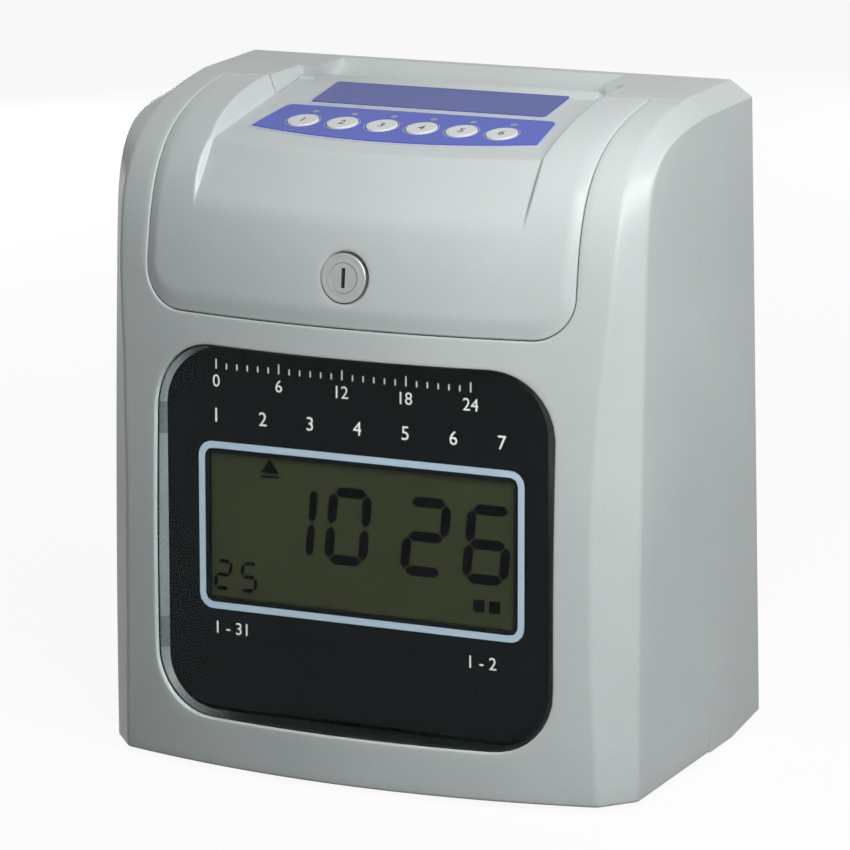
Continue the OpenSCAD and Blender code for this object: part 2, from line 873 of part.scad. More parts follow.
// A folded side frame: an upright with a foot flange and a flange for the main board
module side_frame(s) {
    floor_top = base_z + sheet;
    raised() color("lightgray") mirror([s < 0 ? 1 : 0, 0, 0]) difference() {
        union() {
            translate([frame_in, 0, 0]) rotate([90, 0, 90]) linear_extrude(sheet) polygon([
                [frame_front_y, floor_top],
                [plate_back, floor_top],
                [frame_back_y, floor_top + frame_step],
                [frame_back_y, frame_top_z],
                [frame_front_y, frame_top_z]
            ]);
            box(
                [frame_in - flange_w, frame_front_y + foot_flange_in, floor_top],
                [frame_in + eps, plate_back - 2, floor_top + sheet]
            );
            box(
                [frame_in - flange_w, frame_front_y, board_low],
                [frame_in + eps, frame_front_y + sheet, board_high]
            );
        }
        for (z = [shaft_low_z, shaft_high_z])
            translate([0, shaft_y, z]) x_cylinder(shaft_d / 2 + pin_seat, 0, big);
        each_base_screw() cylinder(r = hole_r, h = big / 8, center = true);
        each_board_screw() y_cylinder(board_hole_r, -10, 20);
    }
}
module side_frame_left() {
    side_frame(-1);
}
module side_frame_right() {
    side_frame(1);
}

module chute_back() {
    plate_y = chute_back_y + sheet;
    raised() color("whitesmoke") difference() {
        union() {
            box([-frame_in, chute_back_y, chute_low_z], [frame_in, plate_y, frame_top_z]);
            box([-slot_w / 2, chute_back_y, chute_low_z], [slot_w / 2, plate_y, chute_top_z]);
            for (s = [-1, 1]) mirror([s < 0 ? 1 : 0, 0, 0])
                box(
                    [card_w / 2, chute_front_y, chute_low_z],
                    [card_w / 2 + rail_w, chute_back_y + eps, chute_top_z - rail_drop]
                );
        }
        box(
            [-lift_slot_w / 2, chute_back_y - 1, lift_slot_low],
            [lift_slot_w / 2, plate_y + 1, carrier_top + slot_over]
        );
    }
}
module chute_front(half, low, high) {
    raised() color("whitesmoke")
        box([-half, chute_front_y - sheet, low], [half, chute_front_y, high]);
}
module chute_front_lower() {
    chute_front(card_w / 2 + rail_w + chute_ear, chute_low_z, front_low_top);
}
module chute_front_upper() {
    chute_front(card_w / 2 + rail_w, front_up_low, chute_top_z - rail_drop);
}
module card_sensor() {
    sensor_back = chute_front_y - sheet;
    raised() color([0.15, 0.15, 0.15])
        box(
            [sensor_low[0], sensor_back - sensor_t, sensor_low[1]],
            [sensor_low[0] + sensor_size[0], sensor_back, sensor_low[1] + sensor_size[1]]
        );
}

module guide_shafts() {
    raised() color("silver") for (z = [shaft_low_z, shaft_high_z])
        translate([0, shaft_y, z]) x_cylinder(shaft_d / 2, -frame_x - shaft_over, frame_x + shaft_over);
}
module cross_plate() {
    raised() color("lightgray") difference() {
        union() {
            box([-frame_in, cross_front, cross_z], [frame_in, cross_back, cross_z + sheet]);
            for (s = [-1, 1]) mirror([s < 0 ? 1 : 0, 0, 0])
                box(
                    [frame_in - sheet, cross_front, cross_z - cross_flange],
                    [frame_in, cross_back, cross_z + eps]
                );
        }
        translate([-pulley_x, belt_y, 0]) cylinder(r = motor_hole_r, h = big);
        translate([pulley_x, belt_y, 0]) cylinder(r = idler_r + pin_seat, h = big);
    }
}
module carriage_motor() {
    raised() color("silver") translate([-pulley_x, belt_y, cross_z]) difference() {
        translate([0, 0, -motor_len]) cylinder(r = carriage_motor_r, h = motor_len);
        translate([0, 0, -carriage_motor_bore]) cylinder(r = drive_shaft_r + run_fit, h = motor_len);
    }
}
module drive_pulley() {
    shaft_low = cross_z - carriage_motor_bore + 1;
    raised() color("whitesmoke") {
        pulley(-pulley_x);
        translate([-pulley_x, belt_y, shaft_low])
            cylinder(r = drive_shaft_r, h = pulley_low - shaft_low + 1);
    }
}
module pulley(x) {
    translate([x, belt_y, pulley_low]) {
        cylinder(r = pulley_r + pulley_flange, h = pulley_flange_t);
        cylinder(r = pulley_r - belt_play, h = pulley_h);
        translate([0, 0, pulley_h - pulley_flange_t])
            cylinder(r = pulley_r + pulley_flange, h = pulley_flange_t);
    }
}
module idler_pulley() {
    raised() color("whitesmoke") difference() {
        pulley(pulley_x);
        translate([pulley_x, belt_y, 0]) cylinder(r = idler_r + run_fit, h = big);
    }
}
module idler_post() {
    foot_top = pulley_low - gap;
    raised() color("silver") translate([pulley_x, belt_y, 0]) {
        translate([0, 0, cross_z - 1]) cylinder(r = idler_r, h = pulley_low + pulley_h + 1 - cross_z);
        translate([0, 0, cross_z + sheet]) cylinder(r = idler_foot_r, h = foot_top - cross_z - sheet);
        translate([0, 0, cross_z - 2]) cylinder(r = idler_foot_r, h = 2);
    }
}
module belt_loop(r) {
    translate([-pulley_x, belt_y]) circle(r);
    translate([pulley_x, belt_y]) circle(r);
    translate([-pulley_x, belt_y - r]) square([2 * pulley_x, 2 * r]);
}
module carriage_belt() {
    raised() color([0.15, 0.15, 0.15]) translate([0, 0, belt_z - belt_w / 2])
        linear_extrude(belt_w) difference() {
            belt_loop(pulley_r + belt_t);
            belt_loop(pulley_r);
        }
}
module print_carriage() {
    clip_y = belt_y + pulley_r;
    clip_z = belt_w / 2 + clip_lip;
    slit_z = belt_w / 2 + gap;
    raised() color([0.2, 0.2, 0.22]) difference() {
        union() {
            box(
                [-carriage_w / 2, carriage_front, carriage_low],
                [carriage_w / 2, carriage_back, carriage_high]
            );
            box(
                [-clip_half, clip_y - clip_lip, belt_z - clip_z],
                [clip_half, carriage_front + eps, belt_z + clip_z]
            );
        }
        box(
            [-clip_half - 1, clip_y - clip_lip - 1, belt_z - slit_z],
            [clip_half + 1, clip_y + belt_t + gap, belt_z + slit_z]
        );
        for (z = [shaft_low_z, shaft_high_z])
            translate([0, shaft_y, z]) x_cylinder(shaft_d / 2 + run_fit, -big, big);
    }
}
// The head's block with two tiers that narrow to its nose at the ribbon
module print_head() {
    block_y = carriage_back + head_t;
    raised() color([0.55, 0.56, 0.58]) {
        box([-head_half, carriage_back, print_z - head_t], [head_half, block_y, print_z + head_t]);
        box(
            [-head_tiers[0][0], block_y - eps, print_z - head_tiers[0][1]],
            [head_tiers[0][0], block_y + head_step, print_z + head_tiers[0][1]]
        );
        box(
            [-head_tiers[1][0], block_y + head_step - eps, print_z - head_tiers[1][1]],
            [head_tiers[1][0], ribbon_y - nose_gap, print_z + head_tiers[1][1]]
        );
    }
}

module cassette_tray() {
    raised() color("lightgray") {
        box([-frame_in, tray_front, tray_z], [frame_in, tray_back, tray_z + tray_t]);
        for (s = [-1, 1]) mirror([s < 0 ? 1 : 0, 0, 0])
            box([frame_in - sheet, tray_front, tray_z], [frame_in, tray_back, frame_top_z - 2]);
    }
}
module ribbon_cassette() {
    cassette_top = cassette_z + cassette_h;
    raised() color([0.12, 0.12, 0.13]) difference() {
        union() {
            box([-cassette_half, cassette_front, cassette_z], [cassette_half, cassette_back, cassette_top]);
            for (s = [-1, 1]) mirror([s < 0 ? 1 : 0, 0, 0])
                box(
                    [cassette_half - arm_w, cassette_back - arm_root, print_z - ribbon_w / 2 - arm_lip],
                    [cassette_half, ribbon_y, cassette_top]
                );
        }
        for (x = [-hub_x, hub_x])
            translate([x, hub_y, cassette_z + 2]) cylinder(r = hub_pin_r + run_fit, h = big);
    }
}
module ink_ribbon() {
    raised() color([0.08, 0.08, 0.1])
        box(
            [-cassette_half, ribbon_y, print_z - ribbon_w / 2],
            [cassette_half, ribbon_y + ribbon_t, print_z + ribbon_w / 2]
        );
}
// A hub with grip flutes and the pin that turns in the cassette
module hub(x) {
    translate([x, hub_y, cassette_z + cassette_h + gap]) difference() {
        cylinder(r = hub_r, h = hub_h);
        for (a = [0:45:315]) rotate(a)
            translate([hub_r + grip_out, 0, -1]) cylinder(r = grip_r, h = hub_h + 2);
    }
    translate([x, hub_y, cassette_z + hub_pin_low])
        cylinder(r = hub_pin_r, h = cassette_h - hub_pin_low + 1);
}
module ribbon_knob() {
    raised() color("steelblue") hub(-hub_x);
}
module supply_hub() {
    raised() color([0.3, 0.3, 0.32]) hub(hub_x);
}

// The card's stop in the chute, a neck through the chute's slit, and the nut on the screw
module card_carrier() {
    low = carrier_top - carrier_h;
    raised() color([0.2, 0.2, 0.22]) difference() {
        union() {
            box(
                [-carrier_half, chute_front_y + carrier_play, low],
                [carrier_half, chute_back_y - carrier_play, carrier_top]
            );
            box([-carrier_neck, chute_back_y - 1, low], [carrier_neck, screw_y - 1, carrier_top]);
            box(
                [-carrier_nut, chute_back_y + sheet + carrier_play, low],
                [carrier_nut, screw_y + carrier_wall, carrier_top]
            );
        }
        translate([0, screw_y, 0]) cylinder(r = screw_r + run_fit, h = big);
    }
}
module lead_screw() {
    raised() color("silver") translate([0, screw_y, 0]) {
        translate([0, 0, chute_low_z + 2 * gap]) cylinder(r = screw_r, h = bearing_z - chute_low_z - 3 * gap);
        translate([0, 0, bearing_z - 1]) cylinder(r = journal_r, h = bearing_h + 2);
        translate([0, 0, chute_low_z - coupling_len]) cylinder(r = coupling_r, h = coupling_len + 1);
    }
}
module screw_bearing() {
    raised() color("lightgray") difference() {
        box(
            [-bearing_half, chute_back_y + sheet, bearing_z],
            [bearing_half, screw_y + carrier_wall, bearing_z + bearing_h]
        );
        translate([0, screw_y, 0]) cylinder(r = journal_r + run_fit, h = big);
    }
}
module lift_bracket() {
    raised() color("lightgray") difference() {
        box(
            [-bracket_half, chute_front_y - sheet, chute_low_z - sheet],
            [bracket_half, back_y - case_wall - gap, chute_low_z]
        );
        translate([0, screw_y, 0]) cylinder(r = 2.6, h = big);
    }
}
module lift_motor() {
    raised() color("silver") translate([0, screw_y, 0]) difference() {
        translate([0, 0, chute_low_z - sheet - motor_len]) cylinder(r = motor_r, h = motor_len);
        translate([0, 0, chute_low_z - motor_bore]) cylinder(r = coupling_r + run_fit, h = motor_len);
    }
}

// Parts on the main board, from its lower edge: x and z of the low corner, width, height, thickness
board_parts = [[-18, 48, 36, 14, 4], [34, 20, 24, 10, 9]];
// Capacitors: x, z, radius, length
board_cans = [[-50, 30, 6, 9], [-50, 90, 5, 14], [-34, 90, 5, 14]];
module each_board_screw() {
    screw_x = frame_in - flange_w / 2;
    for (x = [-screw_x, screw_x], z = [board_low + board_screw_in, board_high - board_screw_in])
        translate([x, 0, z]) children();
}
module main_board() {
    face_y = frame_front_y - board_t;
    board_half = frame_in - board_side;
    raised() color([0.1, 0.35, 0.2]) difference() {
        union() {
            box([-board_half, face_y, board_low], [board_half, frame_front_y, board_high]);
            for (p = board_parts)
                translate([p[0], face_y - p[4], board_low + p[1]]) cube([p[2], p[4] + eps, p[3]]);
            for (c = board_cans)
                translate([c[0], 0, board_low + c[1]]) y_cylinder(c[2], face_y - c[3], face_y + eps);
        }
        each_board_screw() y_cylinder(hole_r, -10, 20);
    }
}
module board_screws() {
    face_y = frame_front_y - board_t;
    raised() color("silver") each_board_screw() {
        y_cylinder(board_shank_r, face_y, frame_front_y + sheet + 2);
        y_cylinder(screw_head_r, face_y - screw_head_h, face_y);
    }
}
core_front = 6;
core_low = [-70, plate_front + core_front];
core_size = [46, 34, 38];
winding_in = 8;
winding_out = 5;
module transformer() {
    core_z = base_z + sheet;
    core_x = core_low[0] + core_size[0];
    core_y = core_low[1] + core_size[1];
    raised() color([0.45, 0.46, 0.48]) {
        box([core_low[0], core_low[1], core_z], [core_x, core_y, core_z + core_size[2]]);
        box(
            [core_low[0] + winding_in, core_low[1] - winding_out, core_z + winding_in],
            [core_x - winding_in, core_y + winding_out, core_z + core_size[2] - winding_in]
        );
    }
}
cell_d = 14.6;
cell_len = 50;
pack_x = 20;
// Distance from the base plate's front edge to the back of the cells
pack_end = 43.5;
pack_back = plate_front + pack_end;
sleeve_waist = 9;
module battery_pack() {
    pack_z = base_z + sheet + cell_d / 2;
    raised() color("royalblue") {
        for (i = [0:2]) translate([0, pack_back - cell_d * (i + 0.5), pack_z])
            x_cylinder(cell_d / 2, pack_x, pack_x + cell_len);
        box(
            [pack_x, pack_back - 2.5 * cell_d, pack_z - sleeve_waist / 2],
            [pack_x + cell_len, pack_back - cell_d / 2, pack_z + sleeve_waist / 2]
        );
    }
}

inlet_x = 52;
inlet_z = 20;
inlet_size = [28, 20];
inlet_depth = 20;
inlet_wall = 2;
inlet_floor = 3;
inlet_set = 0.2;
inlet_pins = [[-6, -2], [0, 3], [6, -2]];
pin_half = [1, 2];
pin_len = 10;
module inlet_block(grow, y_back) {
    box(
        [inlet_x - inlet_size[0] / 2 - grow, back_y - inlet_depth, inlet_z - inlet_size[1] / 2 - grow],
        [inlet_x + inlet_size[0] / 2 + grow, y_back, inlet_z + inlet_size[1] / 2 + grow]
    );
}
module power_inlet() {
    socket = inlet_size / 2 - [inlet_wall, inlet_wall];
    floor_y = back_y - inlet_depth + inlet_floor;
    raised() color([0.12, 0.12, 0.13]) {
        difference() {
            inlet_block(0, back_y - inlet_set);
            box(
                [inlet_x - socket[0], floor_y, inlet_z - socket[1]],
                [inlet_x + socket[0], big, inlet_z + socket[1]]
            );
        }
        for (p = inlet_pins) translate([inlet_x + p[0], 0, inlet_z + p[1]])
            box([-pin_half[0], floor_y - eps, -pin_half[1]], [pin_half[0], floor_y + pin_len, pin_half[1]]);
    }
}

module hinge_pins() {
    raised() color("silver") for (s = [-1, 1]) mirror([s < 0 ? 1 : 0, 0, 0])
        translate([0, hinge_y, hinge_z])
            x_cylinder(hinge_pin_d / 2, recess_half - pin_in, recess_half + pin_out);
}
// The catch hangs from the ledge, and its lip lies in front of the locked cam
catch_front = 12.4;
catch_t = 1.6;
catch_half = 14;
catch_foot = -30.5;
catch_lip = -24;
catch_top = -2;
module lock_catch() {
    raised() color("silver") intersection() {
        case_form(-case_wall - 0.02);
        on_lock() {
            box(
                [-catch_half, catch_foot, -catch_front - catch_t],
                [catch_half, catch_lip, -catch_front]
            );
            box(
                [-catch_half, catch_foot, -catch_front - eps],
                [catch_half, catch_foot + catch_t, catch_top]
            );
        }
    }
}

tongue_back = 6;
rim_drop = 1.6;
rim_front = 2;
rim_back = 1.5;
lamp_fit = 0.1;
barrel_fit = 0.1;
drill = 30;
nut_front = -cover_proud - cover_t - gap;
module top_cover() {
    raised() color("whitesmoke") difference() {
        union() {
            difference() {
                intersection() {
                    case_form(cover_proud);
                    cover_prism(0, back_y);
                }
                recess_form(0);
                difference() {
                    case_form(-cover_t);
                    recess_form(-cover_t);
                }
                cover_rear_half();
                box([-big, cover_rear_y + seam, -big], [big, big, big]);
            }
            on_floor()
                box([-tongue_half, cover_rear_y - tongue_back, -cover_t], [tongue_half, hinge_y + 0.5, 0]);
            translate([0, hinge_y, hinge_z]) x_cylinder(knuckle_r, -tongue_half, tongue_half);
            box(
                [-slot_w / 2, hinge_y - rim_front, hinge_z],
                [slot_w / 2, hinge_y + rim_back, case_h - rim_drop]
            );
        }
        on_floor() each_key() cylinder(r = key_d / 2 + gap, h = drill, center = true);
        on_floor() each_led() cylinder(r = led_d / 2 + lamp_fit, h = drill, center = true);
        on_lock() cylinder(r = lock_barrel_d / 2 + barrel_fit, h = drill, center = true);
        on_lock() translate([0, 0, -lock_inset - eps]) cylinder(r = lock_pocket_d / 2, h = drill);
        on_lock() translate([0, 0, nut_front + gap - drill]) cylinder(r = nut_r + nut_room, h = drill);
        for (s = [-1, 1]) mirror([s < 0 ? 1 : 0, 0, 0])
            translate([0, hinge_y, hinge_z])
                x_cylinder(hinge_pin_d / 2 + run_fit, recess_half - pin_in - 2, recess_half + pin_in);
    }
}
overlay_t = 0.5;
overlay_arc_r = 250;
// Places of the overlay's edges in front of and behind the keys, and in from the recess's sides
overlay_reach = [17, 17.8];
overlay_side = [12.5, 9];
overlay_tip_front = 8.4;
overlay_front = key_y - overlay_reach[0];
overlay_back = key_y + overlay_reach[1];
overlay_half = recess_half - overlay_side[0];
overlay_tip = [recess_half - overlay_side[1], key_y - overlay_tip_front];
module keypad_overlay() {
    raised() color([0.29, 0.36, 0.72]) on_floor() difference() {
        linear_extrude(overlay_t) intersection() {
            polygon([
                [-overlay_half, overlay_back],
                [overlay_half, overlay_back],
                overlay_tip,
                [overlay_tip[0], overlay_front - overlay_tip_front],
                [-overlay_tip[0], overlay_front - overlay_tip_front],
                [-overlay_tip[0], overlay_tip[1]]
            ]);
            translate([0, overlay_arc_r + overlay_front]) circle(overlay_arc_r);
        }
        each_key() cylinder(r = key_d / 2 + gap, h = drill, center = true);
        each_led() cylinder(r = led_d / 2 + lamp_fit, h = drill, center = true);
    }
}
plate_gap = 4.8;
plate_rear = 3;
plate_side = 20;
plate_low = overlay_back + plate_gap;
plate_high = hinge_y - plate_rear;
module name_plate() {
    raised() color([0.33, 0.4, 0.7]) on_floor()
        box([plate_side - recess_half, plate_low, 0], [recess_half - plate_side, plate_high, overlay_t]);
}
key_board_drop = 7;
key_board_half = recess_half - 5;
key_board_reach = [11.4, 19.6];
key_board_ys = [key_y - key_board_reach[0], key_y + key_board_reach[1]];
key_screw_x = key_board_half - 4;
switch_half = 3;
flange_out = 0.9;
flange_t = 1;
flange_gap = 0.2;
switch_gap = 0.5;
key_rise = 0.9;
module key_board() {
    raised() color([0.1, 0.35, 0.2]) on_floor() {
        difference() {
            box(
                [-key_board_half, key_board_ys[0], -key_board_drop - board_t],
                [key_board_half, key_board_ys[1], -key_board_drop]
            );
            for (x = [-key_screw_x, key_screw_x]) translate([x, 0, 0])
                cylinder(r = hole_r, h = big, center = true);
        }
        each_key()
            box(
                [-switch_half, -switch_half, -key_board_drop - eps],
                [switch_half, switch_half, -cover_t - flange_gap - flange_t - key_travel - switch_gap]
            );
    }
}
module key_board_screws() {
    board_back = -key_board_drop - board_t;
    raised() color("silver") on_floor() for (x = [-key_screw_x, key_screw_x]) translate([x, 0, 0]) {
        translate([0, 0, -key_board_drop]) cylinder(r = screw_head_r, h = key_board_drop - cover_t);
        translate([0, 0, board_back]) cylinder(r = shank_r, h = board_t + 1);
        translate([0, 0, board_back - screw_head_h]) cylinder(r = screw_head_r, h = screw_head_h);
    }
}
module status_leds() {
    raised() color([0.75, 0.3, 0.3]) on_floor() each_led()
        translate([0, 0, -key_board_drop]) cylinder(r = led_d / 2, h = key_board_drop + overlay_t);
}
// One key: a cap above the overlay and a flange that holds it under the floor
module key(i) {
    raised() color("white") on_floor() translate([(i - 3.5) * key_pitch, key_y / cos(floor_tilt), 0]) {
        translate([0, 0, -cover_t - gap]) cylinder(r = key_d / 2, h = cover_t + gap + overlay_t + key_rise);
        translate([0, 0, -cover_t - flange_gap - flange_t])
            cylinder(r = key_d / 2 + flange_out, h = flange_t);
    }
}
module key_1() {
    key(1);
}
module key_2() {
    key(2);
}
module key_3() {
    key(3);
}
module key_4() {
    key(4);
}
module key_5() {
    key(5);
}
module key_6() {
    key(6);
}

module lock_barrel() {
    raised() color("silver") on_lock() difference() {
        union() {
            translate([0, 0, -lock_inset]) cylinder(r = lock_head_d / 2, h = lock_inset + lock_proud);
            translate([0, 0, -barrel_depth + 1]) cylinder(r = lock_barrel_d / 2, h = barrel_depth);
        }
        cylinder(r = lock_plug_d / 2 + run_fit, h = big, center = true);
    }
}
module lock_nut() {
    raised() color("silver") on_lock() translate([0, 0, nut_front - nut_h]) difference() {
        cylinder(r = nut_r, h = nut_h, $fn = 6);
        translate([0, 0, -1]) cylinder(r = lock_barrel_d / 2 + snug, h = nut_h + 2);
    }
}
module lock_plug() {
    plug_back = -barrel_depth + 0.5;
    raised() color("silver") on_lock() difference() {
        union() {
            translate([0, 0, plug_back]) cylinder(r = lock_plug_d / 2, h = lock_proud - 0.3 - plug_back);
            translate([0, 0, -barrel_depth - tail_len]) cylinder(r = tail_r, h = tail_len + 2);
        }
        box([-key_slot_w / 2, -key_slot_h / 2, -key_slot_depth], [key_slot_w / 2, key_slot_h / 2, 10]);
    }
}
module lock_cam() {
    raised() color("silver") on_lock() difference() {
        union() {
            translate([0, 0, cam_back]) cylinder(r = cam_hub_r, h = cam_t);
            box([0, -cam_w / 2, cam_back], [cam_len, cam_w / 2, cam_back + cam_t]);
        }
        cylinder(r = tail_r + pin_seat, h = big, center = true);
    }
}

front_case();
rear_case();
feet();
case_screws();
lens_window();
display_panel();
lcd_holder();
lcd_glass();
display_board();
display_screws();
base_plate();
base_screws();
side_frame_left();
side_frame_right();
chute_back();
chute_front_lower();
chute_front_upper();
card_sensor();
guide_shafts();
cross_plate();
carriage_motor();
idler_post();
carriage_belt();
lift_bracket();
lift_motor();
screw_bearing();
main_board();
board_screws();
transformer();
battery_pack();
power_inlet();
hinge_pins();
lock_catch();
cassette_tray();
ribbon_cassette();
ink_ribbon();
top_cover();
keypad_overlay();
name_plate();
key_board();
key_board_screws();
status_leds();
lock_barrel();
lock_nut();
key_1();
key_2();
key_3();
key_4();
key_5();
key_6();
lock_plug();
lock_cam();
print_carriage();
print_head();
drive_pulley();
idler_pulley();
card_carrier();
lead_screw();
ribbon_knob();
supply_hub();
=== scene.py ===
import bmesh
import bpy
import numpy as np
from mathutils import Matrix, Vector


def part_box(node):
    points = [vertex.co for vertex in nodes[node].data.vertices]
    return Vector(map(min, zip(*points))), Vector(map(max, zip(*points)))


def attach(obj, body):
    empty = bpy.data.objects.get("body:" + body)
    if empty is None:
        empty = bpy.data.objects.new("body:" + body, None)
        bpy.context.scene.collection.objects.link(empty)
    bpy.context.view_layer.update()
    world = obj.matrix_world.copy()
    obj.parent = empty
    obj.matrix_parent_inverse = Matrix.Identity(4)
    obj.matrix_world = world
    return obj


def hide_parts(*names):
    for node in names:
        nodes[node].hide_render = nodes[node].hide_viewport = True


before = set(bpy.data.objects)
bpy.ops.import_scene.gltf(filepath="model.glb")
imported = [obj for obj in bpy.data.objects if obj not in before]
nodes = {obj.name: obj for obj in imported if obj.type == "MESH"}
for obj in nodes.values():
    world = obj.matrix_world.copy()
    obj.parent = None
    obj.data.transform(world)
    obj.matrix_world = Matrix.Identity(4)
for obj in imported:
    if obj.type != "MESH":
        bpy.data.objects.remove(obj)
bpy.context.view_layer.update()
scene = bpy.context.scene


# Camera, where the photograph was taken from.
# It stands to the right of the front and a little above it, two metres away, and leans by a
# degree and a half. The long lens keeps the upright edges nearly parallel.
def put(name, data):
    """A camera, lamp or mesh as an object of the scene, at the origin."""
    made = bpy.data.objects.new(name, data)
    scene.collection.objects.link(made)
    return made


camera = put("camera", bpy.data.cameras.new("camera"))
camera_right = (0.89316647, 0.44896671, -0.02612567)
camera_up = (-0.08697999, 0.22944803, 0.96942668)
camera_back = (0.44123479, -0.86358699, 0.24398641)
camera_eye = (0.93726, -1.82654, 0.65152)
camera.matrix_world = Matrix([*zip(camera_right, camera_up, camera_back, camera_eye), (0, 0, 0, 1)])
camera.data.sensor_width = 36
camera.data.lens = 219.54
camera.data.clip_start = 0.1
camera.data.clip_end = 30
scene.camera = camera
scene.view_settings.view_transform = "Standard"


# Floor and light: a sweep of pale paper under and behind the recorder.
# A soft box in front, high on the right, lights it, and two low ones behind keep its back from going dark.
# The paper shows white to the camera and to gloss, and still takes the soft shadow; it sends little light back.
SEEN_GLOW = 0.93
WORLD_FILL = 0.05


def linear(hex_colour):
    """sRGB hex to linear RGBA: c / 12.92 below 0.04045, else ((c + 0.055) / 1.055) to the power 2.4."""
    c = np.array([int(hex_colour[i:i + 2], 16) for i in (1, 3, 5)]) / 255
    return (*np.where(c <= 0.04045, c / 12.92, ((c + 0.055) / 1.055) ** 2.4), 1.0)


def add(tree, kind, inputs=None, **settings):
    """Adds one node: settings are its properties, and inputs gives each socket a number, an sRGB hex
    colour, another node's output, or another node, which stands for its first live output."""
    made = tree.nodes.new("ShaderNode" + kind)
    for key, value in settings.items():
        setattr(made, key, value)
    for key, value in (inputs or {}).items():
        if isinstance(value, bpy.types.Node):
            value = next(socket for socket in value.outputs if socket.enabled)
        if isinstance(value, bpy.types.NodeSocket):
            tree.links.new(value, made.inputs[key])
        else:
            made.inputs[key].default_value = linear(value) if isinstance(value, str) else value
    return made


def new_material(name):
    """An empty material and its node tree."""
    material = bpy.data.materials.new(name)
    material.use_nodes = True
    material.node_tree.nodes.clear()
    return material, material.node_tree


def looked_at(tree):
    """1 for rays that the camera, a gloss or a glass sends, and 0 for the light that falls on things."""
    ray = add(tree, "LightPath").outputs
    mirror = add(tree, "Math", {0: ray["Is Glossy Ray"], 1: ray["Is Transmission Ray"]}, operation="MAXIMUM")
    return add(tree, "Math", {0: ray["Is Camera Ray"], 1: mirror}, operation="MAXIMUM")


# Matt paper with a faint fibre
paper, tree = new_material("studio_paper")
fibre = add(tree, "TexNoise", {"Scale": 60.0, "Detail": 6.0})
bounce = add(tree, "Mix", {"Factor": fibre, "A": "#5c5e60", "B": "#646668"}, data_type="RGBA")
camera_ray = add(tree, "LightPath").outputs["Is Camera Ray"]
tone = add(tree, "Mix", {"Factor": camera_ray, "A": bounce, "B": "#e6e7e8"}, data_type="RGBA")
matt = add(tree, "BsdfPrincipled", {"Base Color": tone, "Roughness": 0.9})
glow = add(tree, "Emission", {"Color": "#ffffff", "Strength": 1.0})
share = add(tree, "Math", {0: looked_at(tree), 1: SEEN_GLOW}, operation="MULTIPLY")
add(tree, "OutputMaterial", {"Surface": add(tree, "MixShader", {0: share, 1: matt, 2: glow})})


def quads_between(index):
    """Faces of a grid, from the numbers of its points: each point with its neighbours along and across."""
    return np.stack([index[:-1, :-1], index[:-1, 1:], index[1:, 1:], index[1:, :-1]], -1).reshape(-1, 4)


def paper_sweep():
    """Floor z = 0 that rises behind as a quarter circle of radius 1 m, then a wall: one profile along x."""
    rear, height, half = 2.5, 5.0, 5.0
    turn = np.linspace(0, np.pi / 2, 25)
    bend = np.stack([rear + np.sin(turn), 1 - np.cos(turn)], 1)
    profile = np.concatenate([[[-4.0, 0.0], [-1.0, 0.0]], bend, [[rear + 1, height]]])
    x = np.array([-half, -1.5, 1.5, half])
    grid = np.empty((len(x), len(profile), 3))
    grid[..., 0] = x[:, None]
    grid[..., 1:] = profile
    index = np.arange(grid[..., 0].size).reshape(grid.shape[:2])
    mesh = bpy.data.meshes.new("paper_sweep")
    mesh.from_pydata(grid.reshape(-1, 3), [], quads_between(index.T).tolist())
    mesh.polygons.foreach_set("use_smooth", np.ones(len(mesh.polygons), bool))
    mesh.materials.append(paper)
    return put("paper_sweep", mesh)


paper_sweep()


def soft_box(name, place, target, size, watts, tint):
    """An area lamp that faces its target: its axes are the way back, the level side and their cross product."""
    lamp = bpy.data.lights.new(name, "AREA")
    lamp.shape = "RECTANGLE"
    lamp.size, lamp.size_y = size
    lamp.energy = watts
    lamp.color = linear(tint)[:3]
    back = np.array(place, float) - target
    back /= np.linalg.norm(back)
    side = np.cross((0, 0, 1), back)
    side /= np.linalg.norm(side)
    put(name, lamp).matrix_world = Matrix([*zip(side, np.cross(back, side), back, place), (0, 0, 0, 1)])


soft_box("key_light", (0.54, -0.45, 0.72), (0, 0, 0.14), (0.6, 0.6), 9.0, "#fefffc")
soft_box("side_light", (-1.1, 1.0, 0.19), (0, 0, 0.1), (0.5, 0.16), 7.0, "#fafcff")
soft_box("back_light", (0.0, 1.5, 0.19), (0, 0, 0.1), (0.5, 0.16), 5.0, "#fafcff")
scene.world = bpy.data.worlds.new("studio")
scene.world.use_nodes = True
tree = scene.world.node_tree
tree.nodes.clear()
strength = add(tree, "MapRange", {"Value": looked_at(tree), "To Min": WORLD_FILL, "To Max": 1.0})
add(tree, "OutputWorld", {"Surface": add(tree, "Background", {"Color": "#ffffff", "Strength": strength})})


# Case front: one moulding of light grey ABS with a fine spark-eroded grain and a soft gloss.
# The mould's faces are ruled between a middle profile and an edge profile, with a bevel between
# front and side. Four screws through the rear moulding hold it. Sizes in mm, above the feet.
MM = 0.001
FOOT_H = 2.5
CASE_H, EDGE_H = 269.4, 262.8
HALF_W = 119.0
FRONT_Y, PART_Y = -73.5, 22.5
WALL = 2.5
SHOULDER_Z = 200.0
FRONT_CURVE = 2800
EDGE_SET, EDGE_LEAN, EDGE_CURVE = 26, 0.045, 6890
BEVEL_Z = [0, 60, 110, 160, 200, 230, 260]
BEVEL_W = [12, 14, 14.4, 12.4, 9, 8, 9.5]
CREASE_R, RIDGE_R = 1.5, 1.6
COVER_HALF, COVER_Z, COVER_R = 95.8, 186.3, 17.0
ARC_X, ARC_Z = COVER_HALF - COVER_R, COVER_Z + COVER_R
SEAM = 0.4
WINDOW_HALF, WINDOW_LOW, WINDOW_HIGH = 89.7, 20.0, 174.0
WINDOW_R_LOW, WINDOW_R_HIGH = 26.0, 28.0
WINDOW_MID = np.array([0, 97.0])
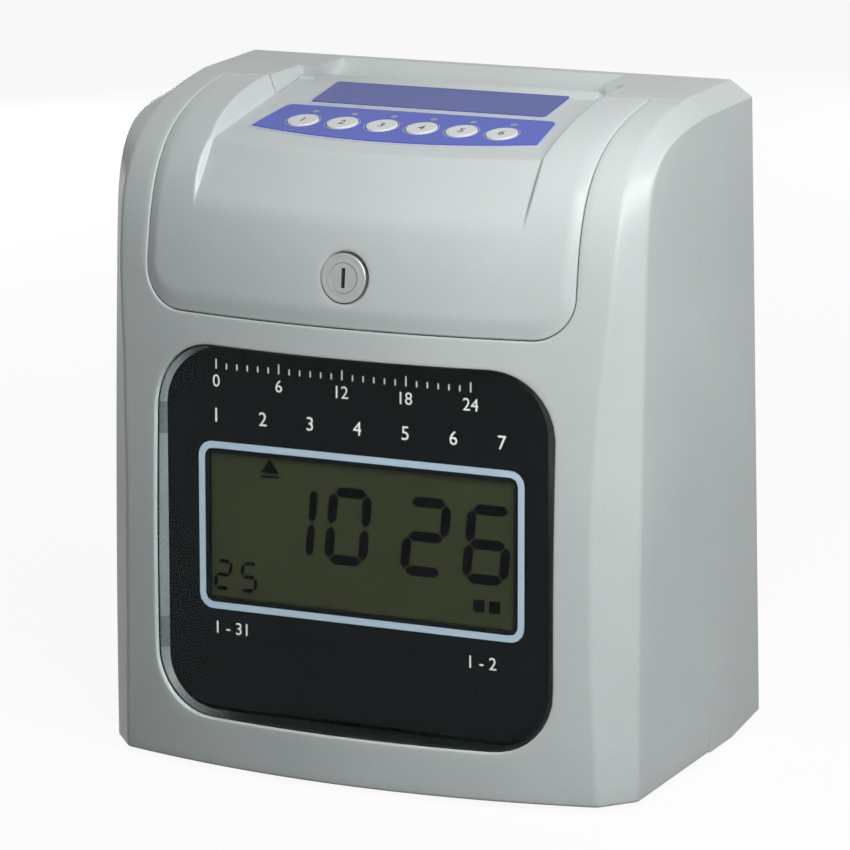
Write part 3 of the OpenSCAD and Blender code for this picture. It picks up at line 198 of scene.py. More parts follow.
BACK, DOWN = np.array([0, 1.0, 0]), np.array([0, 0, -1.0])


def bow(x):
    """Depth by which the front falls back at x: 13 mm times x over 107, squared."""
    return 13 * (x / 107) ** 2


def mid_y(z):
    """Depth of the middle profile up to the shoulder: z squared over 2800."""
    return FRONT_Y + z ** 2 / FRONT_CURVE


def edge_y(z):
    """Depth of the edge profile up to the shoulder: 26 mm behind, 0.045 z and z squared over 6890."""
    return FRONT_Y + EDGE_SET + EDGE_LEAN * z + z ** 2 / EDGE_CURVE


MID_HANDLES = np.array([[mid_y(SHOULDER_Z), SHOULDER_Z], [mid_y(SHOULDER_Z) + 42.3 / 7, SHOULDER_Z + 42.3],
                        [-43.1, CASE_H - 5.91], [16.0, CASE_H]])
EDGE_SLOPE = EDGE_LEAN + 2 * SHOULDER_Z / EDGE_CURVE
EDGE_HANDLES = np.array([[edge_y(SHOULDER_Z), SHOULDER_Z],
                         [edge_y(SHOULDER_Z) + EDGE_SLOPE * 49.5, SHOULDER_Z + 49.5],
                         [-28.7, EDGE_H - 3.342], [27.0, EDGE_H]])


def profiles(v):
    """Middle and edge profile at v as (y, z): z = 200 v with y a parabola up to v = 1, then one Bezier
    curve each, the handles times (1-t)^3, 3t(1-t)^2, 3t^2(1-t) and t^3, then level for 40 mm a unit."""
    z = SHOULDER_Z * np.clip(v, 0, 1)
    t = np.clip(v - 1, 0, 1)
    run = 40 * np.clip(v - 2, 0, None)
    w = np.stack([(1 - t) ** 3, 3 * t * (1 - t) ** 2, 3 * t ** 2 * (1 - t), t ** 3], -1)
    both = []
    for handles, low_y in ((MID_HANDLES, mid_y), (EDGE_HANDLES, edge_y)):
        line = w @ handles
        line[..., 0] = np.where(v < 1, low_y(z), line[..., 0]) + run
        line[..., 1] = np.where(v < 1, z, line[..., 1])
        both.append(line)
    return both


V_FINE = np.linspace(0, 2.6, 2601)
Z_FINE = profiles(V_FINE)[0][:2001, 1]


def v_at(z):
    """The profile's parameter at height z, below the level top."""
    return np.interp(z, Z_FINE, V_FINE[:2001])


def unit(ways):
    """Each direction over its own length."""
    return ways / np.linalg.norm(ways, axis=-1, keepdims=True)


def front_at(x, v, proud=0.0):
    """Front face: the middle profile moved back by the bow, and out along its own normal by proud."""
    x, v = np.broadcast_arrays(x, v)
    step = profiles(v + 1e-3)[0] - profiles(v - 1e-3)[0]
    out = unit(np.stack([-step[..., 1], step[..., 0]], -1))
    mid = profiles(v)[0] + out * (proud * (1 - np.clip(v - 1, 0, 1)))[..., None]
    return np.stack([x, mid[..., 0] + bow(x), mid[..., 1]], -1)


def front_normal(x, v):
    """Unit normal of the front: the cross product of its slopes along x and along v."""
    across = front_at(x + 0.1, v) - front_at(x - 0.1, v)
    return unit(np.cross(across, front_at(x, v + 1e-3) - front_at(x, v - 1e-3)))


def away_from_cover(path, normal):
    """Direction in the skin out over the cover's outline: the offset from its arcs' centres, less what lies
    along the normal."""
    x, _, z = path.T
    way = np.stack([x - np.clip(x, -ARC_X, ARC_X), np.zeros(len(path)), np.minimum(z - ARC_Z, 0)], 1)
    return unit(way - (way * normal).sum(1, keepdims=True) * normal)


def cover_outline(radius, turn, straight):
    """Columns x across the cover and the height of its outline there: a straight foot between two arcs."""
    x = np.concatenate([-ARC_X - radius * np.cos(turn), straight, ARC_X + radius * np.sin(turn)])
    reach = np.clip(np.abs(x) - ARC_X, 0, radius)
    z = ARC_Z - np.sqrt(np.clip(radius ** 2 - reach ** 2, 0, None))
    z[[0, -1]] = ARC_Z
    return x, z


def rolled(path, towards, back, radius, turn):
    """Rows of a rounded edge: the path plus the radius times sine p towards one side and 1 - cosine p back."""
    return [path + towards * radius * np.sin(p) + back * radius * (1 - np.cos(p)) for p in turn]


def round_corner(before, corner, after):
    """Quadratic curve from before to after that leaves towards the corner: (1-t)^2 a + 2t(1-t) b + t^2 c."""
    t = np.linspace(0, 1, 7)[:, None, None]
    return (1 - t) ** 2 * before + 2 * t * (1 - t) * corner + t ** 2 * after


def side_columns(v, first_x, side_steps):
    """Columns from first_x on the front over crease, bevel and side edge to the parting line, at each v."""
    mid, edge = profiles(v)
    inner = HALF_W - np.interp(mid[..., 1], BEVEL_Z, BEVEL_W)
    crease = front_at(inner, v)
    ridge = np.stack([np.full_like(inner, HALF_W), edge[..., 0], edge[..., 1]], -1)
    slope = unit(ridge - crease)
    flat = [front_at(first_x + (inner - CREASE_R - first_x) * a, v) for a in np.linspace(0, 1, 6)[:-1]]
    low, high, behind = crease + slope * CREASE_R, ridge - slope * RIDGE_R, ridge + BACK * RIDGE_R
    soft = round_corner(front_at(inner - CREASE_R, v), crease, low)
    ramp = [low + (high - low) * a for a in (0.25, 0.5, 0.75)]
    wall = [behind + (PART_Y - behind * BACK) * BACK * a for a in side_steps]
    return np.stack([*flat, *soft, *ramp, *round_corner(high, ridge, behind), *wall], 0)


def part_line(first_x, side_steps):
    """For each column, the v at which it meets the parting plane."""
    fine = V_FINE[1000:2400]
    y = side_columns(fine, first_x, side_steps)[..., 1]
    ends = np.array([np.interp(PART_Y, row, fine) for row in y])
    ends[-len(side_steps):] = ends[-len(side_steps) - 1]
    return ends


def join_grids(name, grids, inside, plate=()):
    """Grids of points in mm, and a flat plate given by its rim, become one mesh: neighbours make faces, equal
    points merge, and faces look away from the point inside."""
    points, faces, start = [], [], 0
    for grid in grids:
        count = grid[..., 0].size
        faces += quads_between(start + np.arange(count).reshape(grid.shape[:2])).tolist()
        points.append(grid.reshape(-1, 3))
        start += count
    if len(plate):
        faces.append(list(range(start, start + len(plate))))
        points.append(plate)
    mesh = bpy.data.meshes.new(name)
    mesh.from_pydata((np.concatenate(points) + [0, 0, FOOT_H]) * MM, [], faces)
    shape = bmesh.new()
    shape.from_mesh(mesh)
    bmesh.ops.remove_doubles(shape, verts=shape.verts, dist=0.02 * MM)
    bmesh.ops.dissolve_degenerate(shape, edges=shape.edges, dist=0.005 * MM)
    bmesh.ops.recalc_face_normals(shape, faces=shape.faces)
    centre = Vector((np.array(inside) + [0, 0, FOOT_H]) * MM)
    if sum(f.calc_area() * f.normal.dot(f.calc_center_median() - centre) for f in shape.faces) < 0:
        bmesh.ops.reverse_faces(shape, faces=shape.faces)
    shape.to_mesh(mesh)
    shape.free()
    return put(name, mesh)


def settle(piece, material, wall=0.0, angle=32.0):
    """Gives a skin its wall inwards, in mm, bakes it, and shades it smooth but for edges sharper than angle."""
    if wall:
        thick = piece.modifiers.new("wall", "SOLIDIFY")
        thick.thickness = wall * MM
        thick.offset = -1
        thick.use_even_offset = True
        baked = bpy.data.meshes.new_from_object(piece.evaluated_get(bpy.context.evaluated_depsgraph_get()))
        piece.modifiers.clear()
        piece.data = baked
    piece.data.polygons.foreach_set("use_smooth", np.ones(len(piece.data.polygons), bool))
    piece.data.set_sharp_from_angle(angle=np.radians(angle))
    piece.data.materials.clear()
    piece.data.materials.append(material)
    return piece


def rounded_rim(half, low, high, r_low, r_high, count=1440):
    """Outline of a box with round corners, anticlockwise from the right in x and z, as evenly spaced points."""
    turn = np.linspace(0, np.pi / 2, 60)
    corners = ((half - r_high, high - r_high, r_high), (-half + r_high, high - r_high, r_high),
               (-half + r_low, low + r_low, r_low), (half - r_low, low + r_low, r_low))
    rim = []
    for k, (x, z, r) in enumerate(corners):
        a = turn + k * np.pi / 2
        rim.append(np.stack([x + r * np.cos(a), z + r * np.sin(a)], 1))
    rim = np.concatenate(rim)
    rim = np.concatenate([rim, rim[:1]])
    way = np.concatenate([[0], np.cumsum(np.linalg.norm(np.diff(rim, axis=0), axis=1))])
    at = np.linspace(0, way[-1], count)
    return np.stack([np.interp(at, way, line) for line in rim.T], 1)


def window_rim(grow, count=1440):
    """The window's outline grown evenly by some mm, corners too."""
    return rounded_rim(WINDOW_HALF + grow, WINDOW_LOW - grow, WINDOW_HIGH + grow, WINDOW_R_LOW + grow,
                       WINDOW_R_HIGH + grow, count)


def rim_radius(rim, angles):
    """Distance from the window's middle to an outline in each direction."""
    x, z = (rim[:-1] - WINDOW_MID).T
    a = np.unwrap(np.arctan2(z, x))
    order = np.argsort(a)
    return np.interp(angles, a[order], np.hypot(x, z)[order], period=2 * np.pi)


def loop_normals(loop):
    """Unit normals (x, 0, z), left of the way round, of a closed outline whose last point repeats the first."""
    along = np.concatenate([loop[1:], loop[1:2]]) - np.concatenate([loop[-2:-1], loop[:-1]])
    return unit(np.stack([-along[:, 1], np.zeros(len(loop)), along[:, 0]], 1))


def flat_line(x, z):
    """Points (x, z) from two lists, or from a list and one number."""
    return np.stack(np.broadcast_arrays(x, z), 1)


def case_front():
    """The front as patches that share their borders: a frame round the window, columns up to the cover, side
    strips over the bevels, a rounded foot, and the edge that turns in beside the cover."""
    roll, foot, lip_r, groove = 0.6, 1.3, 0.5, 0.3
    frame_rows, frame_top, flange_depth = 26, 180, 3.2
    quarter = np.linspace(0, np.pi / 2, 6)
    seam_x = COVER_HALF + SEAM + roll
    low_z = np.concatenate([np.linspace(foot, frame_top, frame_rows), np.linspace(frame_top, ARC_Z, 9)[1:]])
    low_v = v_at(low_z)
    above = len(low_z)
    side_steps = np.linspace(0, 1, 8)[1:]
    ends = part_line(seam_x, side_steps)[:, None]
    high_rows = np.linspace(0, 1, 34)[1:]
    v = np.concatenate([np.tile(low_v, (len(ends), 1)), low_v[-1] + (ends - low_v[-1]) * high_rows], 1)
    strip = np.stack([side_columns(row, seam_x, side_steps)[k] for k, row in enumerate(v)])
    strip[:, -1, 1] = PART_Y
    strip[-2, :, 1] = np.maximum(strip[-2, :, 1], PART_Y - groove)
    strip[-1, :-1, 0] -= groove
    mirror = strip * [-1, 1, 1]

    top_x, seam_z = cover_outline(COVER_R + SEAM + roll, np.linspace(0, np.pi / 2, 15),
                                  np.linspace(-ARC_X, ARC_X, 40)[1:-1])
    share = (low_z[frame_rows - 1:] - frame_top) / (ARC_Z - frame_top)
    columns = front_at(top_x[:, None], v_at(frame_top + share * (seam_z[:, None] - frame_top)))

    rise = low_z[:frame_rows]
    base_x = np.linspace(-seam_x, seam_x, 31)
    border = np.concatenate([flat_line(seam_x, rise), flat_line(top_x[::-1], frame_top)[1:],
                             flat_line(-seam_x, rise[::-1])[1:], flat_line(base_x, foot)[1:]])
    angles = np.arctan2(*(border - WINDOW_MID).T[::-1])
    reach = rim_radius(window_rim(lip_r), angles)[:, None]
    near = WINDOW_MID + reach * np.stack([np.cos(angles), np.sin(angles)], 1)
    flat = border + (near - border) * np.linspace(0, 1, 7)[:, None, None]
    frame_grid = front_at(flat[..., 0], v_at(flat[..., 1]))
    lip = rolled(frame_grid[-1], loop_normals(near), BACK, lip_r, quarter)
    lip = np.stack([*lip, lip[-1] + 1.7 * BACK])

    bottom = np.concatenate([mirror[::-1, 0], front_at(base_x, v_at(foot))[1:-1], strip[:, 0]])
    heading = np.gradient(bottom, axis=0)
    inward = unit(np.stack([-heading[:, 1], heading[:, 0], np.zeros(len(bottom))], 1))
    foot_rows = np.stack(rolled(bottom, DOWN, inward, foot, quarter))
    foot_rows[:, [0, -1], 1] = PART_Y

    path = np.concatenate([strip[0, above:][::-1], columns[::-1, -1], mirror[0, above:]])
    high_v = v[0, above:]
    normal = front_normal(path[:, 0], np.concatenate([high_v[::-1], v_at(seam_z)[::-1], high_v]))
    towards = -away_from_cover(path, normal)
    flange = rolled(path, towards, -normal, roll, quarter[::2])
    flange += [path + towards * roll - normal * d for d in (1.4, flange_depth - 0.5)]
    flange += [path + towards * (roll + d) - normal * flange_depth for d in (0.5, 2.5, 5.0)]
    flange = np.stack(flange)
    flange[:, [0, -1], 1] = np.minimum(flange[:, [0, -1], 1], PART_Y)
    return join_grids("case_front", [strip, mirror, columns, frame_grid, lip, foot_rows, flange], (0, 10, 120),
                      foot_rows[-1])


def moulded_grain(name, light, dark, roughness, grain_mm, depth_mm):
    """Plastic from a textured mould: colour drifts between two tones, grain is bump, and gloss varies with it."""
    material, tree = new_material(name)
    place = add(tree, "TexCoord").outputs["Object"]
    drift = add(tree, "TexNoise", {"Vector": place, "Scale": 14.0, "Detail": 3.0})
    speck = add(tree, "TexNoise", {"Vector": place, "Scale": 1 / (grain_mm * MM), "Detail": 2.0,
                                   "Roughness": 0.6})
    blend = add(tree, "Math", {0: speck, 1: drift}, operation="MULTIPLY")
    spread = add(tree, "MapRange", {"Value": blend, "From Min": 0.12, "From Max": 0.42})
    tone = add(tree, "Mix", {"Factor": spread, "A": dark, "B": light}, data_type="RGBA")
    gloss = add(tree, "MapRange", {"Value": speck, "From Min": 0.3, "From Max": 0.7,
                                   "To Min": roughness - 0.015, "To Max": roughness + 0.02})
    soft_edge = add(tree, "Bevel", {"Radius": 0.5 * MM}, samples=4)
    grain = add(tree, "Bump", {"Height": speck, "Strength": 0.35, "Distance": depth_mm * MM, "Normal": soft_edge})
    shader = add(tree, "BsdfPrincipled", {"Base Color": tone, "Roughness": gloss, "IOR": 1.52,
                                          "Specular IOR Level": 0.3, "Normal": grain})
    add(tree, "OutputMaterial", {"Surface": shader})
    return material


def finish(material, *names):
    """Puts a material on CAD nodes that keep their shape."""
    for name in names:
        nodes[name].data.materials.clear()
        nodes[name].data.materials.append(material)


# Cool light grey ABS, fine grain about 0.5 mm, satin: soft broad highlights
case_abs = moulded_grain("case_grey_abs", "#cfd6d7", "#c1c8c9", 0.36, 0.5, 0.03)
front = settle(case_front(), case_abs, wall=WALL)
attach(front, "case")
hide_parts("front_case")
finish(case_abs, "rear_case")


# Top cover: one thin lid of the same ABS, polished a little brighter than the case.
# It wraps over the shoulder, its edges are rolled, and the key panel's recess is moulded into it.
# A knuckle and a rim at its back turn on two steel pins.
COVER_PROUD = 0.8
COVER_WALL = 2.3
REAR_Y = 24.0
RECESS_HALF, TONGUE_HALF = 73.0, 72.4
FLOOR_Z, FLOOR_SLOPE = 257.7, 0.16
HINGE_Y, HINGE_Z = 45.0, 262.5
LOCK_Z = 206.5
KEY_X = 17.9 * (np.arange(6) - 2.5)
KEY_Y = -5.6
LOCK_HOLE_R, KEY_HOLE_R = 11.2, 6.95
KNUCKLE_R, PIN_R = 3.2, 1.6
GRID_MM = 1.2
RIGHT = np.array([1.0, 0, 0])
LOCK_LEAN = np.arctan(2 * LOCK_Z / FRONT_CURVE)
TILT = np.arctan(FLOOR_SLOPE)


def soft_min(a, b, k):
    """The lower of a and b, rounded where they meet: min(a, b) - k/4 times (1 - |a-b|/k) squared."""
    h = np.clip(1 - np.abs(a - b) / k, 0, None)
    return np.minimum(a, b) - h * h * k / 4


def recess_z(x, y):
    """Key panel floor (257.7 + 0.16 y), its brow at 52 degrees in front, and sides that rise by 3.15 mm for
    each mm past 73, rounded at their foot."""
    lift = 3.15 * np.clip(np.sqrt((np.abs(x) - RECESS_HALF).clip(0) ** 2 + 0.36) - 0.6, 0, None)
    corner = -35.5 + bow(x)
    floor = FLOOR_Z + FLOOR_SLOPE * y + lift
    brow = FLOOR_Z + FLOOR_SLOPE * corner + lift + (y - corner) * np.tan(np.radians(52))
    return soft_min(floor, brow, 1.4)


def edge_sink(x, v):
    """Fall of the skin towards its outline: 1.5 mm times the 1.3rd power of the way through a band that is
    5 mm wide at the sides and 8 at the foot."""
    below = np.clip(ARC_Z - profiles(v)[0][..., 1], 0, None)
    reach = np.hypot(np.clip(np.abs(x) - ARC_X, 0, None), below)
    band = 5 + 3 * below / (reach + 1e-6)
    return 1.5 * np.clip(1 - (COVER_R - reach) / band, 0, 1) ** 1.3


def cover_at(x, v):
    """Cover skin: the case's form, proud by 0.8 mm, fallen at its edges, cut down to the recess where that
    lies lower."""
    x, v = np.broadcast_arrays(x, v)
    p = front_at(x, v, COVER_PROUD - edge_sink(x, v))
    p[..., 2] = soft_min(p[..., 2], recess_z(p[..., 0], p[..., 1]), 2.6)
    return p


def pierce(points, quads, centre, up, radius):
    """Opens a round hole in a grid: faces that reach inside the radius go, and the border left moves out onto
    the circle. Gives the faces kept, and the border with its directions out from the middle."""
    local = points - centre
    e = np.stack([local @ RIGHT, local @ up], -1)
    r = np.hypot(*e.T)
    near = np.linalg.norm(local, axis=1) < radius * 2 + 6
    gone = (near & (r < radius - 0.3 * GRID_MM))[quads].any(1)
    border = np.intersect1d(quads[gone], quads[~gone])
    border = border[near[border]]
    points[border] += (radius / r[border] - 1)[:, None] * (e[border] @ [RIGHT, up])
    border = border[np.argsort(np.arctan2(e[border, 1], e[border, 0]))]
    return quads[~gone], points[border], e[border] / r[border, None] @ [RIGHT, up]


def top_cover():
    """Skin grid from the lower edge to the rear edge with holes for keys and lock, and, as grids, the well
    round the lock, the rolled rim all round and the tongue behind the skin."""
    roll, wall = 0.9, 1.5
    rows, tongue_rows = 150, 18
    arc_columns, corner_columns, middle_columns = 16, 27, 122
    corner = np.linspace(-ARC_X, -TONGUE_HALF, corner_columns)
    between = np.linspace(-TONGUE_HALF, TONGUE_HALF, middle_columns)
    straight = np.concatenate([corner[1:-1], between, -corner[-2:0:-1]])
    x, low_z = cover_outline(COVER_R - roll, np.linspace(0, np.pi / 2, arc_columns), straight)
    v0 = v_at(low_z)
    y_fine = front_at(x[:, None], V_FINE[None, 1000:], COVER_PROUD)[..., 1]
    v1 = np.array([np.interp(REAR_Y, row, V_FINE[1000:]) for row in y_fine])
    way = v0[:, None] + (v1 - v0)[:, None] * np.linspace(0, 1, rows)
    skin = cover_at(x[:, None], way)
    skin[:, -1, 1] = REAR_Y
    points = skin.reshape(-1, 3)
    index = np.arange(len(points)).reshape(way.shape)
    quads = quads_between(index)

    lock_y = front_at(0.0, v_at(LOCK_Z), COVER_PROUD)[1]
    lock_up = np.array([0, np.sin(LOCK_LEAN), np.cos(LOCK_LEAN)])
    quads, rim, outward = pierce(points, quads, np.array([0, lock_y, LOCK_Z]), lock_up, LOCK_HOLE_R)
    deep = np.array([0, np.cos(LOCK_LEAN), -np.sin(LOCK_LEAN)])
    well = np.stack([rim - outward * inset + deep * depth for inset, depth in (
        (0, 0), (0.1, 0.03), (0.25, 0.12), (0.45, 0.34), (0.6, 0.6), (0.7, 0.85), (0.78, 1.1), (0.83, 1.4),
        (0.85, 1.6), (0.85, 2.1), (2.6, 2.15))])
    well = np.concatenate([well, well[:, :1]], 1)
    floor_up = np.array([0, np.cos(TILT), np.sin(TILT)])
    for key_x in KEY_X:
        centre = np.array([key_x, KEY_Y, FLOOR_Z + FLOOR_SLOPE * KEY_Y])
        quads = pierce(points, quads, centre, floor_up, KEY_HOLE_R)[0]

    side_v, half = way[0, 1:], COVER_HALF - roll
    path = points[np.concatenate([index[0, :0:-1], index[:, 0], index[-1, 1:]])]
    rim_x = np.concatenate([np.full(len(side_v), -half), x, np.full(len(side_v), half)])
    normal = front_normal(rim_x, np.concatenate([side_v[::-1], v0, side_v]))
    rim_rows = rolled(path, away_from_cover(path, normal), -normal, roll, np.linspace(0, np.pi / 2, 8))
    rim_grid = np.stack([*rim_rows, rim_rows[-1] - normal * wall])
    rim_grid[:, [0, -1], 1] = np.minimum(rim_grid[:, [0, -1], 1], REAR_Y)

    middle = np.where(np.abs(x) < TONGUE_HALF + 0.01)[0]
    back_y = np.linspace(REAR_Y, HINGE_Y - 1.5, tongue_rows)
    tongue_x, tongue_y = np.meshgrid(x[middle], back_y, indexing="ij")
    tongue = np.stack([tongue_x, tongue_y, recess_z(tongue_x, tongue_y)], -1)
    tongue[:, 0] = points[index[middle, -1]]
    used, quads = np.unique(quads, return_inverse=True)
    return points[used], quads.reshape(-1, 4), [well, rim_grid, tongue]


points, quads, grids = top_cover()
cover = join_grids("top_cover_lid", grids, (0, 20, 170))
skin = bpy.data.meshes.new("top_cover_skin")
skin.from_pydata((points + [0, 0, FOOT_H]) * MM, [], quads.tolist())
shape = bmesh.new()
shape.from_mesh(skin)
shape.from_mesh(cover.data)
bmesh.ops.remove_doubles(shape, verts=shape.verts, dist=0.02 * MM)
bmesh.ops.recalc_face_normals(shape, faces=shape.faces)
if max(shape.faces, key=lambda f: f.calc_center_median().z).normal.z < 0:
    bmesh.ops.reverse_faces(shape, faces=shape.faces)
shape.to_mesh(cover.data)
shape.free()
# Smoother ABS than the case: a faint grain and a closer gloss, as a polished mould gives
cover_abs = moulded_grain("cover_grey_abs", "#cfd6d8", "#c5cccd", 0.26, 0.4, 0.008)
settle(cover, cover_abs, wall=COVER_WALL)


def turned(name, profile, centre, axis, side=RIGHT, steps=56):
    """A profile of (radius, height) turned about an axis: the radius times cosine and sine in the plane
    across it."""
    a = np.linspace(0, 2 * np.pi, steps + 1)
    a[-1] = 0
    spoke = np.cos(a)[:, None] * side + np.sin(a)[:, None] * np.cross(axis, side)
    r, h = np.array(profile, float).T[..., None, None]
    return join_grids(name, [centre + h * axis + r * spoke], centre + axis * h.mean())


def rim_bar():
    """The low rim on the knuckle: a section with a ramp in front, carried along x, with shrinking end
    sections for its corners."""
    a = np.linspace(0, np.pi * 0.62, 9)
    crown = np.stack([1.4 * np.cos(a) + 0.1, 3.0 + 1.1 * np.sin(a)], 1)
    section = np.concatenate([[[1.5, -2.6]], crown, [[-2.2, 3.2], [-3.6, 2.4], [-5.2, 1.75], [-5.6, 0.6],
                                                     [-2.0, -2.6], [1.5, -2.6]]])
    half = np.array([64.3, 64.3, 64.1, 63.5])
    size = np.array([0, 0.82, 0.93, 1])
    x, size = np.concatenate([-half, half[::-1]]), np.concatenate([size, size[::-1]])
    core = np.array([-0.25, 0.8])
    yz = core + (section - core) * size[:, None, None] + [HINGE_Y, HINGE_Z]
    grid = np.concatenate([np.repeat(x[:, None, None], len(section), 1), yz], -1)
    return join_grids("rim_bar", [grid], (0, HINGE_Y, HINGE_Z + 1))


half_knuckle = [(0, -63), (PIN_R, -63), (PIN_R, -72.4), (KNUCKLE_R - 0.3, -72.4), (KNUCKLE_R, -72.1)]
knuckle = turned("hinge_knuckle", half_knuckle + [(r, -h) for r, h in half_knuckle[::-1]],
                 np.array([0, HINGE_Y, HINGE_Z]), RIGHT, BACK, 48)
rim = rim_bar()
settle(knuckle, cover_abs)
settle(rim, cover_abs)
for piece in (cover, knuckle, rim):
    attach(piece, "cover")
    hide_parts("top_cover")


# Display window: a tray of clear acrylic, bowed with the front, that sits in the opening with
# a thin dark gap all round. Its rounded edge catches the light as a silvery line, and its skirt has silvery light
# and dark shade painted on.
PANEL_Y, PANEL_SLOPE = -61.6, 0.055
LENS_SET, LENS_GAP, LENS_T = 0.5, 0.7, 2.0
CLIP_Z, CLIP_AWAY, CLIP_HALF = 96.5, 44.5, 6.5


def window_lens():
    """Rings from the middle to the outline on the front's form 0.5 mm deep, then a quarter-round edge."""
    edge = 1.3
    rim = window_rim(-LENS_GAP - edge, 241)
    rim[-1] = rim[0]
    flat = WINDOW_MID + (rim - WINDOW_MID) * np.linspace(0, 1, 16)[:, None, None]
    face = front_at(flat[..., 0], v_at(flat[..., 1])) + BACK * LENS_SET
    rows = rolled(face[-1], -loop_normals(rim), BACK, edge, np.linspace(0, np.pi / 2, 7))
    return join_grids("window_lens", [face, np.stack(rows)], (0, 0, 97))


# Clear acrylic, polished, with faint haze and wipe marks in its gloss. Its anti-glare coat is why its index
# is set low, and light falls through it onto the panel.
acrylic, tree = new_material("clear_acrylic")
place = add(tree, "TexCoord").outputs["Object"]
wiped = add(tree, "Mapping", {"Vector": place, "Rotation": (0, 0.5, 0), "Scale": (9, 9, 60)})
haze = add(tree, "TexNoise", {"Vector": wiped, "Scale": 1.6, "Detail": 5.0})
polish = add(tree, "MapRange", {"Value": haze, "From Min": 0.35, "From Max": 0.75, "To Max": 0.004})
clear = add(tree, "BsdfPrincipled", {"Base Color": "#f6faf8", "Roughness": polish, "IOR": 1.09,
                                     "Transmission Weight": 1.0})
through = add(tree, "BsdfTransparent", {"Color": "#f2f6f4"})
shadow = add(tree, "LightPath").outputs["Is Shadow Ray"]
add(tree, "OutputMaterial", {"Surface": add(tree, "MixShader", {0: shadow, 1: clear, 2: through})})
lens = settle(window_lens(), acrylic, wall=LENS_T)


def lens_skirt():
    """The tray's wall behind its face: a ring of four-cornered section whose inner face narrows back to the
    panel; each corner is a share of the way from the lens to the panel."""
    outer = window_rim(-0.8, 481)
    near = rounded_rim(88.2, 20.9, 173.0, 25.0, 27.0, 481)
    far = rounded_rim(85.5, 21.3, 171.4, 22.4, 24.5, 481)
    rows = []
    section = (outer, 0.0), (near, 0.0), ((near + far) / 2, 0.5), (far, 1.0), (outer, 1.0), (outer, 0.0)
    for rim, share in section:
        front_y = front_at(rim[:, 0], v_at(rim[:, 1]))[:, 1] + LENS_SET + LENS_T + 0.05
        back_y = np.maximum(PANEL_Y + PANEL_SLOPE * rim[:, 1] - 0.15, front_y + 0.2)
        rows.append(np.stack([rim[:, 0], front_y + (back_y - front_y) * share, rim[:, 1]], 1))
    grid = np.stack(rows)
    grid[:, -1] = grid[:, 0]
    return join_grids("lens_skirt", [grid], (0, -60, 97))


# Frosted acrylic of the skirt, with the drag marks of the mould. Its tone is painted light and shade: silvery
# grey on the left, going to a painted near-black shade towards the middle, and darker where its own snap clips
# stand behind it
frosted, tree = new_material("frosted_acrylic")
place = add(tree, "TexCoord").outputs["Object"]
drawn = add(tree, "Mapping", {"Vector": place, "Scale": (1, 0.2, 1)})
drag = add(tree, "TexNoise", {"Vector": drawn, "Scale": 700.0, "Detail": 4.0})
where = add(tree, "SeparateXYZ", {0: place}).outputs
# Painted light and shade across x: silvery grey at -84 mm, painted dark shade from -50 mm inwards
inward = add(tree, "MapRange", {"Value": where["X"], "From Min": -84 * MM, "From Max": -50 * MM})
painted_lit_silver = add(tree, "Mix", {"Factor": drag, "A": "#5f6467", "B": "#74797c"}, data_type="RGBA")
painted_shade_dark = add(tree, "Mix", {"Factor": drag, "A": "#0c0e10", "B": "#151719"}, data_type="RGBA")
tone = add(tree, "Mix", {"Factor": inward, "A": painted_lit_silver, "B": painted_shade_dark}, data_type="RGBA")
offset = add(tree, "Math", {0: where["Z"], 1: (CLIP_Z + FOOT_H) * MM}, operation="SUBTRACT")
height = add(tree, "Math", {0: offset}, operation="ABSOLUTE")
clip_at = add(tree, "Math", {0: height, 1: CLIP_AWAY * MM, 2: CLIP_HALF * MM}, operation="COMPARE")
broken = add(tree, "Math", {0: clip_at, 1: drag}, operation="MULTIPLY")
clip_tone = add(tree, "Mix", {"Factor": broken, "A": tone, "B": "#1d2022"}, data_type="RGBA")
scored = add(tree, "Bump", {"Height": drag, "Strength": 0.3, "Distance": 0.1 * MM})
shader = add(tree, "BsdfPrincipled", {"Base Color": clip_tone, "Roughness": 0.35, "IOR": 1.49, "Normal": scored})
add(tree, "OutputMaterial", {"Surface": shader})
skirt = settle(lens_skirt(), frosted, angle=30)
for piece in (lens, skirt):
    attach(piece, "case")
    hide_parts("lens_window")


# Printed panel and display glass: a black plate, screen-printed in pale ink, lies behind the window.
# The display glass shows olive through its cut-out. The numbers are dark segments on the glass.
PRINT_T = 0.06
HOUR_X, HOUR_STEP = -62.8, 4.767

# Gloss black print on sheet: slightly blue, with dust and faint scratches in its gloss
black_print, tree = new_material("gloss_black_print")
place = add(tree, "TexCoord").outputs["Object"]
cloud = add(tree, "TexNoise", {"Vector": place, "Scale": 9.0, "Detail": 2.0})
ink = add(tree, "Mix", {"Factor": cloud, "A": "#050709", "B": "#0b0e11"}, data_type="RGBA")
dust = add(tree, "TexNoise", {"Vector": place, "Scale": 900.0, "Detail": 2.0})
speckle = add(tree, "MapRange", {"Value": dust, "From Min": 0.64, "From Max": 0.74,
                                 "To Min": 0.3, "To Max": 0.55})
ripple = add(tree, "Bump", {"Height": cloud, "Strength": 0.2, "Distance": 0.2 * MM})
shader = add(tree, "BsdfPrincipled", {"Base Color": ink, "Roughness": speckle, "IOR": 1.5,
                                      "Specular IOR Level": 0.08, "Normal": ripple})
add(tree, "OutputMaterial", {"Surface": shader})
finish(black_print, "display_panel")

